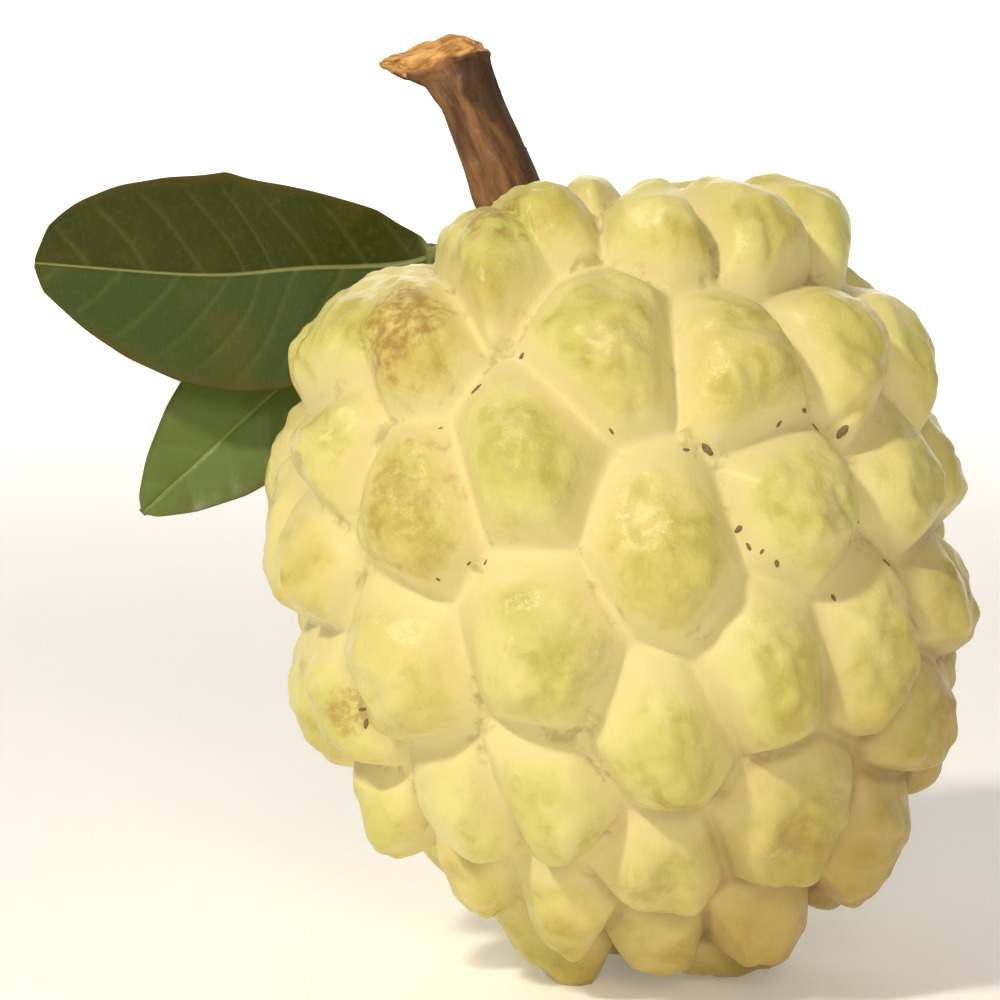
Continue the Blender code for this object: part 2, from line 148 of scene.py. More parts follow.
# Corky patches: place, half width across and along in millimetres, strength.
RUSSET = (
    ((-33, 43), 4.9, 5.4, 1.0), ((-9, 28), 3.2, 4.0, 0.9), ((-34, 70), 4.6, 5.6, 0.55),
    ((8, 56), 3.0, 3.6, 0.35), ((-11, 66), 3.6, 5.0, 0.28), ((-62, 100), 2.4, 2.6, 0.8),
    ((22, 139), 3.0, 3.0, 0.5), ((-12, 100), 3.4, 4.4, 0.25), ((62, 126), 3.5, 4.0, 0.5),
    ((-150, 70), 4.5, 4.0, 0.7), ((120, 95), 3.6, 4.4, 0.5), ((175, 120), 4.0, 3.6, 0.6),
)

# Dry specks that sit in the valleys: place and half length in millimetres.
SPECKS = (
    (-10, 50, 0.55), (-19, 54, 0.85), (-27, 58, 0.30), (3, 67, 0.45), (-24, 81, 0.40),
    (-26, 82, 0.35), (16, 72, 0.55), (18, 74, 0.95), (33, 73, 0.55), (40, 72, 0.60),
    (42, 74, 0.60), (45, 77, 1.05), (84, 70, 0.60), (20, 87, 0.70), (20, 90, 0.55),
    (42, 90, 0.40), (40, 94, 0.45), (35, 102, 0.50), (64, 55, 0.45), (25, 94, 0.60),
    (49, 99, 0.75), (-32, 81, 0.35), (-63, 101, 0.50), (-61, 103, 0.65), (23, 91, 0.40),
)

SPECK_SCALE = 0.45          # a speck is lumpy, so it grows past its stated half length

# ---- twig and leaves, on the frame's own lines ---------------------------------------------
TWIG_RADIUS = 3.9
TWIG_NECK_RADIUS = 3.5
TWIG_LENGTH = 22.0          # from its foot to the neck under the torn heel
TWIG_LEAN_LEFT = 22.0
TWIG_FOOT = 35.0            # height of its foot along the fruit's axis
HEEL_HEIGHT = 5.0
HEEL_TONGUE = 4.4           # how far the torn tongue reaches beyond the twig
BARK_ABOVE_NECK = 2.2       # where the bark ends and the torn wood starts
PORES_PER_SQUARE_METRE = 260000.0
GAP = 0.3
UPPER_RIB = ((-21.8, 25.9, 32.6), (-36.3, 26.1, 31.4), (-47.7, 25.5, 30.7), (-66.6, 23.9, 32.2))
LOWER_RIB = ((-16.5, 28.4, 35.6), (-26.0, 32.3, 27.4), (-35.5, 31.4, 20.0), (-45.5, 29.4, 11.2),
             (-54.9, 26.9, 2.8))
# Half widths of each blade on its two sides: share of the way to the tip, and millimetres.
UPPER_WIDTHS = (
    ((0, 0.9), (0.04, 3.0), (0.16, 6.4), (0.376, 9.6), (0.595, 11.8), (0.765, 11.0), (0.86, 9.6),
     (0.934, 7.2), (0.98, 4.4), (1, 2.6)),
    ((0, 0.9), (0.06, 4.5), (0.16, 8.6), (0.28, 11.6), (0.425, 13.7), (0.595, 13.6), (0.716, 12.4),
     (0.82, 10.0), (0.898, 7.2), (0.96, 4.2), (1, 2.2)))
LOWER_WIDTHS = (
    ((0, 0.9), (0.1, 4.0), (0.25, 7.4), (0.45, 9.8), (0.62, 9.6), (0.78, 7.2), (0.9, 4.4),
     (0.97, 2.0), (1, 0.7)),
    ((0, 0.9), (0.1, 3.6), (0.25, 6.4), (0.45, 8.2), (0.62, 8.4), (0.78, 6.9), (0.9, 4.3),
     (0.97, 1.9), (1, 0.7)))

# ---- the stage -----------------------------------------------------------------------------
VIEW_WIDTH = 110.0          # seen at the fruit
AIM_ASIDE = -13.2           # where the camera aims, from the fruit's centre
AIM_UP = 8.03
SENSOR_WIDTH = 36.0
FLOOR_FRONT = -2.0          # metres, as are the next three
FLOOR_BACK = 1.2            # where the floor starts to bend up into the backdrop
FLOOR_BEND = 0.6            # radius of the bend
WALL_TOP = 1.6

# Lights: place and aim in metres from the fruit's centre, size, power and colour.
LIGHTS = {
    "key": ((-0.56, -0.64, 0.80), (0.0, 0.0, 0.0), 0.10, 7.8, "#FFF6E6"),
    "front": ((0.08, -0.95, 0.42), (0.0, 0.0, 0.0), 0.30, 2.4, "#FFF6E6"),
    "fill": ((0.9, -0.8, 0.35), (0.0, 0.0, 0.0), 1.2, 0.4, "#FFE9C4"),
    "top": ((0.0, 0.2, 1.2), (0.0, 0.0, 0.0), 1.0, 0.7, "#FFFFFF"),
    "backdrop": ((0.0, 1.0, 1.0), (0.0, 1.8, 0.4), 1.2, 18.0, "#FFFFFF"),
}


# ---- small helpers -------------------------------------------------------------------------
def linear(hex_colour):
    """An sRGB hex colour as the linear RGBA that a shader takes."""
    parts = [int(hex_colour[i:i + 2], 16) / 255.0 for i in (1, 3, 5)]
    return (*((c / 12.92 if c <= 0.04045 else ((c + 0.055) / 1.055) ** 2.4) for c in parts), 1.0)


def add(tree, kind, inputs=(), out=0, **settings):
    """Add one node and give back one of its outputs.  Each input, by name or number, gets a plain
    value or the output that feeds it; what else is named is a setting of the node."""
    node = tree.nodes.new(kind)
    for name, value in settings.items():
        setattr(node, name, value)
    for name, value in dict(inputs).items():
        if isinstance(value, bpy.types.NodeSocket):
            tree.links.new(value, node.inputs[name])
        else:
            node.inputs[name].default_value = value
    return node.outputs[out]


def new_material(name):
    """A fresh material, its node tree and its Principled shader."""
    material = bpy.data.materials.new(name)
    material.use_nodes = True
    tree = material.node_tree
    return material, tree, tree.nodes["Principled BSDF"]


def ripple(points, size_mm, seed, stretch=(1.0, 1.0, 1.0)):
    """Smooth noise at each point, about -1 to 1, with bumps size_mm across."""
    scaled = points * np.array(stretch) / size_mm + seed * 17.31
    return np.array([noise.noise(Vector(p)) for p in scaled]) * 1.6


def smooth_step(value, low, high):
    """From 0 at low to 1 at high, with soft ends."""
    share = np.clip((value - low) / (high - low), 0.0, 1.0)
    return share * share * (3.0 - 2.0 * share)


def keep_numbers(mesh, **fields):
    """Store one number per point under each name."""
    for name, values in fields.items():
        layer = mesh.attributes.new(name, "FLOAT", "POINT")
        layer.data.foreach_set("value", np.asarray(values, np.float32))


def place_piece(name, mesh, material):
    """A smooth piece at the origin, with its place in its mesh."""
    mesh.materials.append(material)
    mesh.shade_smooth()
    obj = bpy.data.objects.new(name, mesh)
    bpy.context.scene.collection.objects.link(obj)
    return obj


def settle(obj, slot, *nodes):
    """Tie a finished piece to the frame."""
    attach(obj, "root")
    if nodes:
        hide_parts(*nodes)


# ---- the fruit's skin ----------------------------------------------------------------------
def directions(turn, drop):
    """Unit vectors from degrees round the axis and degrees down from the stalk."""
    turn, drop = np.radians(turn), np.radians(drop)
    return np.stack([np.sin(drop) * np.sin(turn), -np.sin(drop) * np.cos(turn), np.cos(drop)], -1)


def envelope(unit):
    """Radius of the surface that touches the tops of the knobs."""
    side = np.maximum(np.hypot(unit[..., 0], unit[..., 1]), 1e-9) / WAIST_RADIUS
    height = unit[..., 2]
    up = np.maximum(height, 0.0) / CROWN_HEIGHT
    down = np.maximum(-height, 0.0) / TIP_HEIGHT
    p, q = CROWN_SQUARENESS, TIP_SQUARENESS
    crown = (side ** p + up ** p) ** (-1.0 / p)
    tip = (side ** q + down ** q) ** (-1.0 / q)
    radius = np.minimum(np.where(height > 0.0, crown, tip), RADIUS_LIMIT)
    radius = radius + RIGHT_FULLNESS * 2.0 * np.maximum(unit[..., 0], 0.0) * np.abs(height)
    from_stalk = np.degrees(np.arccos(np.clip(height, -1.0, 1.0)))
    from_saddle = np.degrees(np.arccos(np.clip(unit @ directions(*SADDLE_AT), -1.0, 1.0)))
    return (radius - DIMPLE_DEPTH * np.exp(-(from_stalk / DIMPLE_SPREAD) ** 2)
            - SADDLE_DEPTH * np.exp(-(from_saddle / SADDLE_SPREAD) ** 2))


def all_knobs():
    """The placed knobs, and the rest crowded evenly over what they leave free."""
    placed = np.array(PLACED_KNOBS)
    fixed = directions(placed[:, 0], placed[:, 1])
    count = np.arange(KNOBS_IN_ALL) + 0.5
    golden_angle = 180.0 * (3.0 - math.sqrt(5.0))
    spiral = directions(golden_angle * count, np.degrees(np.arccos(1 - 2 * count / KNOBS_IN_ALL)))
    free = (spiral @ fixed.T).max(1) < math.cos(math.radians(KNOB_SPACING))
    free &= spiral[:, 2] < math.cos(math.radians(TWIG_CLEARING))
    filled = spiral[free]
    stalk = np.array([[0.0, 0.0, 1.0]])
    for _ in range(SPREAD_ROUNDS):
        others = np.vstack([fixed, filled, stalk])
        apart = filled[:, None] - others[None]
        gap = np.linalg.norm(apart, axis=-1, keepdims=True)
        push = np.where(gap > 1e-6, apart / np.maximum(gap, 1e-6) ** 5, 0.0).sum(1)
        strength = np.linalg.norm(push, axis=-1, keepdims=True)
        filled = filled + SPREAD_STEP * push / (1.0 + SPREAD_DAMPING * strength)
        filled /= np.linalg.norm(filled, axis=-1, keepdims=True)
    size = np.interp(filled[:, 2], (-0.98, -0.7, 0.7, 0.95), (0.85, 1.0, 1.0, 0.8))
    count = np.arange(len(filled))
    above = filled[:, 2] > -0.6
    height = above * UNEVEN_HEIGHT * np.sin(5.0 * count)
    size = size * (1.0 + above * UNEVEN_SIZE * np.sin(3.0 * count))
    return (np.vstack([fixed, filled]),
            np.concatenate([placed[:, 2], height]),
            np.concatenate([placed[:, 3], size]),
            np.concatenate([placed[:, 4], size]))


def knob_frames(tops):
    """For each knob, the direction round the axis and the direction down the fruit."""
    round_axis = np.stack([-tops[:, 1], tops[:, 0], np.zeros(len(tops))], -1)
    round_axis /= np.linalg.norm(round_axis, axis=-1, keepdims=True)
    down = np.cross(tops, round_axis)
    down *= np.where(down[:, 2:] > 0.0, -1.0, 1.0)
    return round_axis, down


def skin(unit, knobs, settings):
    """Radius of the skin along each unit vector, the distance in from the nearest valley, how
    far down its knob each point lies, from -1 to 1, and which knob it is on."""
    tops, extra, wide, long = knobs
    round_axis, down = knob_frames(tops)
    base = envelope(unit)[:, None]
    angle = np.arccos(np.clip(unit @ tops.T, -1.0, 1.0))
    stretch = base * angle / np.maximum(np.sin(angle), 1e-4)
    across = (unit @ round_axis.T) * stretch / wide
    along = (unit @ down.T) * stretch / long * (KNOB_WIDTH / KNOB_LENGTH)
    reach = np.where(angle < math.radians(KNOB_REACH), across ** 2 + along ** 2, 1e4)
    rows = np.arange(len(unit))
    own = reach.argmin(1)
    nearest = reach[rows, own]
    apart = WAIST_RADIUS * np.arccos(np.clip(tops @ tops.T, -1.0, 1.0))[own]
    to_each = (reach - nearest[:, None]) / (2.0 * np.maximum(apart, KNOB_WIDTH / 2))
    to_each[rows, own] = 1e3
    for first, second in TWINS:
        to_each[own == first, second] = 1e3
        to_each[own == second, first] = 1e3
    inner = (np.maximum(to_each, 1e-3) ** -VALLEY_POWER).sum(1) ** (-1.0 / VALLEY_POWER)
    inner = np.hypot(inner, VALLEY_FLOOR) - VALLEY_FLOOR
    lower = np.clip(along[rows, own] / KNOB_WIDTH, -1.0, 1.0)
    shoulder = settings.shoulder / MM * (1.0 - SHOULDER_LEAN * lower)
    inward = np.clip(inner / shoulder, 0.0, 1.0)
    depth = settings.valley_depth / MM * (
        SMALL_KNOB_DEPTH + (1.0 - SMALL_KNOB_DEPTH) * np.minimum(wide, long)[own])
    rise = depth * (1.0 - (1.0 - inward) ** SHOULDER_ROUND)
    face = (TILT * lower + extra[own]) * inward - CROWNING * nearest / KNOB_WIDTH ** 2
    return base[:, 0] - settings.valley_depth / MM + rise + face, inner, lower, own


def lean_matrix(left, back):
    """The turn that leans something upright to the left and to the back, in degrees."""
    return Matrix.Rotation(math.radians(-back), 3, "X") @ Matrix.Rotation(math.radians(-left), 3, "Y")


def even_sphere(cuts):
    """A cube cut into a grid and blown up to a sphere, with cells of nearly one size."""
    ball = bmesh.new()
    bmesh.ops.create_cube(ball, size=2.0)
    bmesh.ops.subdivide_edges(ball, edges=ball.edges[:], cuts=cuts, use_grid_fill=True)
    mesh = bpy.data.meshes.new("fruit")
    ball.to_mesh(mesh)
    ball.free()
    points = np.zeros(len(mesh.vertices) * 3)
    mesh.vertices.foreach_get("co", points)
    unit = np.tan(points.reshape(-1, 3) * math.pi / 4)
    return mesh, unit / np.linalg.norm(unit, axis=1, keepdims=True)


def segment_distance(points, first, second):
    """Distance from each point to a straight piece between two others."""
    run = second - first
    share = np.clip((points - first) @ run / (run @ run), 0.0, 1.0)
    return np.linalg.norm(points - first - share[:, None] * run, axis=1), share


def russet_share(unit, points):
    """How corky the skin is at each point, with ragged edges."""
    total = np.zeros(len(unit))
    ragged = ripple(points, 2.6, 3) * 0.45 + ripple(points, 1.1, 4) * 0.3
    for place, wide, long, strength in RUSSET:
        top = directions(*place)[None]
        round_axis, down = knob_frames(top)
        reach = np.hypot(points @ round_axis[0] / wide, points @ down[0] / long)
        reach = np.where(unit @ top[0] > 0.5, reach, 9.0)
        total = np.maximum(total, strength * smooth_step(-(reach + ragged), -1.25, -0.55))
    return total


def skin_points(settings):
    """The finished skin: mesh, points in millimetres round the centre, and its numbers."""
    mesh, unit = even_sphere(SPHERE_CUTS)
    knobs = all_knobs()
    parts = [skin(block, knobs, settings) for block in np.array_split(unit, 16)]
    radius, inner, lower, own = (np.concatenate(column) for column in zip(*parts))
    ideal = unit * radius[:, None]
    on_face = smooth_step(inner, 0.2, 2.2)
    tone = (np.sin(own * 12.9898) * 43758.5453) % 1.0
    off_valley = smooth_step(inner, 0.0, 1.2)   # so that no field jumps from knob to knob
    russet = russet_share(unit, ideal)
    # soft swellings, then finer wrinkles that run down the knob, then the corky grain
    radius = radius + settings.lumps / MM * on_face * (
        ripple(ideal, 6.5, 1) + 0.65 * ripple(ideal, 3.2, 2) + 0.32 * ripple(ideal, 1.5, 6))
    radius = radius + 0.22 * on_face * smooth_step(lower, -0.6, 0.5) * ripple(ideal, 2.0, 5, (1, 1, 0.4))
    radius = radius - russet * 0.16 * (0.6 + np.abs(ripple(ideal, 1.5, 7)) + 0.5 * ripple(ideal, 0.9, 8))
    for first, second, depth, half in CREASES:
        ends = [directions(*place) for place in (first, second)]
        ends = [end * envelope(end[None])[0] for end in ends]
        flat = unit * envelope(unit)[:, None]
        gap, share = segment_distance(flat + 0.5 * ripple(ideal, 4.0, 9)[:, None], *ends)
        radius = radius - depth * np.sin(math.pi * np.clip(share, 0.06, 0.94)) * np.exp(-(gap / half) ** 2)
    lean = np.array(lean_matrix(LEAN_LEFT, LEAN_BACK))
    return mesh, unit * radius[:, None] @ lean.T, dict(
        valley=inner, lower=lower * off_valley, tone=tone * off_valley, russet=russet)


def seat_of(points):
    """The shift from the fruit's centre to the frame."""
    low, high = (np.array(corner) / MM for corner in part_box("fruit"))
    middle = (low + high) / 2 - (points.min(0) + points.max(0)) / 2
    return np.array([middle[0], middle[1], high[2] - points[:, 2].max()])


SEAT = {"shift": np.zeros(3)}   # millimetres, found when the fruit is made


def to_frame(points):
    """Points in millimetres round the fruit's centre as the frame's metres."""
    return (np.asarray(points) + SEAT["shift"]) * MM


# ---- the twig ------------------------------------------------------------------------------
def twig_axis():
    """The twig's foot and its direction, from the fruit's centre."""
    foot = lean_matrix(LEAN_LEFT, LEAN_BACK) @ Vector((0, 0, TWIG_FOOT))
    along = lean_matrix(TWIG_LEAN_LEFT, LEAN_BACK) @ Vector((0, 0, 1))
    return foot, along


def beside_twig(height, towards):
    """A point just clear of the twig's side, on the way to another point."""
    foot, along = twig_axis()
    on_axis = foot + along * height
    out = Vector(towards) - on_axis
    out -= along * out.dot(along)
    return on_axis + out.normalized() * (TWIG_RADIUS + 1.4 * GAP)


def grid_mesh(name, rows):
    """A tube over loops of points, rows x columns x 3 metres, with its two ends capped."""
    count, around = rows.shape[:2]
    points = [tuple(p) for p in rows.reshape(-1, 3)]
    faces = []
    for i in range(count - 1):
        for j in range(around):
            k = (j + 1) % around
            faces.append((i * around + j, i * around + k, (i + 1) * around + k, (i + 1) * around + j))
    for row in (0, count - 1):
        points.append(tuple(rows[row].mean(0)))
        for j in range(around):
            faces.append((row * around + j, row * around + (j + 1) % around, len(points) - 1))
    mesh = bpy.data.meshes.new(name)
    mesh.from_pydata(points, [], faces)
    shell = bmesh.new()
    shell.from_mesh(mesh)
    bmesh.ops.recalc_face_normals(shell, faces=shell.faces[:])
    shell.to_mesh(mesh)
    shell.free()
    return mesh


def twig_rows():
    """The twig's foot and axes, and rows of points up it as distances along those axes."""
    foot, along = twig_axis()
    turn = lean_matrix(TWIG_LEAN_LEFT, LEAN_BACK)
    right, away = np.array(turn @ Vector((1, 0, 0))), np.array(turn @ Vector((0, 1, 0)))
    foot, along = np.array(foot), np.array(along)
    heel = TWIG_LENGTH
    stations = np.array([
        # height, radius, tongue, slope of the section
        (0.0, TWIG_RADIUS + 0.5, 0.0, 0.0), (2.5, TWIG_RADIUS + 0.1, 0.0, 0.0),
        (heel * 0.5, TWIG_RADIUS - 0.2, 0.0, 0.0), (heel * 0.9, TWIG_NECK_RADIUS, 0.0, 0.0),
        (heel + HEEL_HEIGHT * 0.12, TWIG_NECK_RADIUS + 0.05, HEEL_TONGUE * 0.15, 0.05),
        (heel + HEEL_HEIGHT * 0.30, TWIG_NECK_RADIUS + 0.15, HEEL_TONGUE * 0.42, 0.12),
        (heel + HEEL_HEIGHT * 0.50, TWIG_NECK_RADIUS + 0.20, HEEL_TONGUE * 0.80, 0.20),
        (heel + HEEL_HEIGHT * 0.64, TWIG_NECK_RADIUS + 0.15, HEEL_TONGUE * 1.05, 0.22),
        (heel + HEEL_HEIGHT * 0.74, TWIG_NECK_RADIUS - 0.10, HEEL_TONGUE * 0.85, 0.22),
        (heel + HEEL_HEIGHT * 0.86, TWIG_NECK_RADIUS - 0.70, HEEL_TONGUE * 0.50, 0.16),
        (heel + HEEL_HEIGHT * 0.96, TWIG_NECK_RADIUS - 1.60, HEEL_TONGUE * 0.20, 0.10),
        (heel + HEEL_HEIGHT * 1.00, TWIG_NECK_RADIUS - 2.80, 0.0, 0.0),
    ])
    where = np.concatenate([np.linspace(0, 0.24, 90), np.linspace(0.24, 1.0, 90)[1:]])
    spots = np.linspace(0, 1, len(stations))
    height, radius, tongue, slope = (np.interp(where, spots, column) for column in stations.T)
    angle = np.linspace(0, math.tau, 96, endpoint=False)[None, :]
    left = np.maximum(0.0, -np.cos(angle))
    reach = radius[:, None] + tongue[:, None] * left ** 5
    x, y = reach * np.cos(angle), reach * np.sin(angle)
    rise = height[:, None] - slope[:, None] * x
    return foot, along, right, away, x, y, rise


def build_twig_mesh():
    """The twig: folded bark, a split lip, and splintered wood along the torn tongue."""
    foot, along, right, away, x, y, rise = twig_rows()
    own = np.stack([x, y, rise], -1).reshape(-1, 3)
    bark_top = TWIG_LENGTH + BARK_ABOVE_NECK
    leftward = smooth_step(-own[:, 0], 2.5, 7.0)
    edge = bark_top + 1.1 * leftward + 0.35 * ripple(own, 1.6, 11) + 0.2 * ripple(own, 0.7, 12)
    torn = smooth_step(own[:, 2] - edge, -0.08, 0.12)
    out = own * np.array([1.0, 1.0, 0.0])
    out /= np.maximum(np.linalg.norm(out, axis=1, keepdims=True), 1e-6)
    # bark: long shallow folds, fine cracks, and a lip where it has split from the wood
    folds = 0.13 * ripple(own, 1.7, 13, (1, 1, 0.16)) + 0.06 * ripple(own, 0.7, 14, (1, 1, 0.22))
    folds += 0.16 * ripple(own, 5.0, 15)
    lip = 0.22 * np.exp(-((own[:, 2] - edge + 0.35) / 0.35) ** 2)
    # torn wood: splinters that run out along the tongue
    fibres = 0.30 * ripple(own, 0.9, 16, (0.22, 1, 1)) + 0.16 * ripple(own, 0.45, 17, (0.25, 1, 1))
    shift = (folds + lip) * (1.0 - torn) + (fibres - 0.25) * torn
    own = own + out * shift[:, None]
    own[:, 2] += torn * (0.45 * ripple(own, 1.3, 18, (0.3, 1, 1)) + 0.2 * ripple(own, 0.6, 19, (0.4, 1, 1)))
    points = foot + own[:, :1] * right + own[:, 1:2] * away + own[:, 2:] * along
    rows = to_frame(points).reshape(*x.shape, 3)
    mesh = grid_mesh("twig", rows)
    # painted shade: the bark darkens down the twig's right side, away from the light; a darker patch sits
    # just below the heel on that side
    dark = smooth_step(own[:, 0] + 0.7 * ripple(own, 2.5, 20), 0.9, 2.4) * 0.75
    patch = np.hypot((own[:, 0] - 2.0) / 2.6, (own[:, 2] - 20.5) / 4.6) + 0.3 * ripple(own, 1.8, 21)
    dark = np.maximum(dark, 1.0 - smooth_step(patch, 0.75, 1.05))
    keep_numbers(mesh, torn=np.append(torn, [0.0, 1.0]), dark=np.append(dark, [0.0, 0.0]))
    return mesh


# ---- the leaves ----------------------------------------------------------------------------
def curve_points(knots, t):
    """Points on a smooth curve through the knots, t from 0 to 1."""
    knots = np.asarray(knots, float)
    spans = len(knots) - 1
    ends = np.vstack([2 * knots[0] - knots[1], knots, 2 * knots[-1] - knots[-2]])
    index = np.minimum((t * spans).astype(int), spans - 1)
    s = (t * spans - index)[:, None]
    p0, p1, p2, p3 = (ends[index + k] for k in range(4))
    return 0.5 * (2 * p1 + (p2 - p0) * s + (2 * p0 - 5 * p1 + 4 * p2 - p3) * s ** 2
                  + (3 * p1 - p0 - 3 * p2 + p3) * s ** 3)


def leaf_mesh(name, rib, blade_start, width_tables, side, fold, thickness, seed):
    """One leaf: its stalk, a blade as wide as the two tables say, a midrib and side veins."""
    steps, half_steps = 230, 40
    t = np.linspace(0.0, 1.0, steps + 1)
    centre = curve_points(rib, t)
    tangent = np.gradient(centre, axis=0)
    tangent /= np.linalg.norm(tangent, axis=1, keepdims=True)
    side = np.asarray(side, float) / np.linalg.norm(side)
    wide = side - tangent * (tangent @ side)[:, None]
    wide /= np.linalg.norm(wide, axis=1, keepdims=True)
    normal = np.cross(tangent, wide)
    normal *= np.where(normal[:, 1:2] > 0, -1.0, 1.0)
    blade = np.clip((t - blade_start) / (1.0 - blade_start), 0.0, 1.0)
    length = np.linalg.norm(np.diff(centre, axis=0), axis=1).sum() * (1.0 - blade_start)
    petiole = 0.85 - 0.3 * blade
    halves = []
    for table in width_tables:
        spots, widths = np.array(table).T
        ends = np.sqrt(np.clip(np.minimum(blade / 0.03, (1.0 - blade) / 0.02), 0.0, 1.0))
        smooth = np.interp(blade, spots, widths)
        for _ in range(14):
            smooth[1:-1] = (smooth[:-2] + 2 * smooth[1:-1] + smooth[2:]) / 4
        halves.append(smooth * ends)
    v = np.linspace(-1.0, 1.0, 2 * half_steps + 1)
    v = np.sign(v) * np.abs(v) ** 1.1
    reach = np.where(v[None, :] >= 0, halves[0][:, None], halves[1][:, None])
    offset = v[None, :] * np.maximum(reach, petiole[:, None] * 0.9)
    share = np.abs(v)[None, :] * np.ones_like(offset)
    # side veins leave the rib at a slant and bend towards the tip
    run = blade[:, None] * length + 0 * offset
    spacing = length / 8.3
    slant = np.abs(offset) * 0.62 + 0.028 * offset ** 2
    wobble = ripple(np.stack([run, offset, 0 * run], -1).reshape(-1, 3), 9.0, seed).reshape(run.shape)
    phase = (run - slant + np.where(v[None, :] > 0, 0.45, 0.0) * spacing + 0.5 * wobble) / spacing
    to_vein = np.abs(phase - np.round(phase)) * spacing * 0.82
    inside = smooth_step(blade[:, None] + 0 * offset, 0.02, 0.10)
    vein = np.exp(-(to_vein / 0.26) ** 2) * (1.0 - smooth_step(share, 0.72, 0.97)) * inside
    between = smooth_step(to_vein, 0.1, 1.6)
    rib_half = 0.30 * (1.0 - 0.75 * blade)[:, None]
    midrib = np.exp(-(offset / (rib_half + 0.12)) ** 2)
    bulge = 0.09 * between * inside * np.sin(math.pi * np.clip(share, 0, 1)) ** 0.5
    wave = 0.55 * share ** 3 * inside * ripple(
        np.stack([run, offset * 0.5, 0 * run + 5], -1).reshape(-1, 3), 11.0, seed + 1).reshape(run.shape)
    line = (centre[:, None, :] + wide[:, None, :] * offset[..., None]
            + normal[:, None, :] * (fold * np.abs(offset) + wave)[..., None])
    thin = np.maximum(thickness / 2 * (1.0 - 0.5 * share ** 4), 0.1)
    stalk = 1.0 - smooth_step(blade, 0.0, 0.05)[:, None]
    round_stalk = petiole[:, None] * np.sqrt(np.clip(1.0 - share ** 2, 0.0, 1.0)) * stalk
    front = np.maximum(thin - 0.10 * midrib * (1 - stalk) + bulge - 0.05 * vein, round_stalk)
    back = np.maximum(thin + 0.42 * midrib * (1 - 0.6 * blade[:, None]) + 0.13 * vein - bulge, round_stalk)
    top = line + normal[:, None, :] * front[..., None]
    under = line - normal[:, None, :] * back[..., None]
    rows = np.concatenate([top, under[:, ::-1]], axis=1)
    mesh = grid_mesh(name, to_frame(rows))
    fields = {}
    numbers = dict(
        vein=vein * 0.7, rib=midrib, margin=share ** 3 * inside,
        half=v[None, :] + 0 * offset, stem=stalk + 0 * offset)
    for key, values in numbers.items():
        both = np.concatenate([values, values[:, ::-1]], axis=1).reshape(-1)
        fields[key] = np.append(both, [values[0].mean(), values[-1].mean()])
    front_face = np.concatenate([np.ones_like(offset), np.zeros_like(offset)], axis=1).reshape(-1)
    fields["face"] = np.append(front_face, [0.5, 0.5])
    keep_numbers(mesh, **fields)
    return mesh


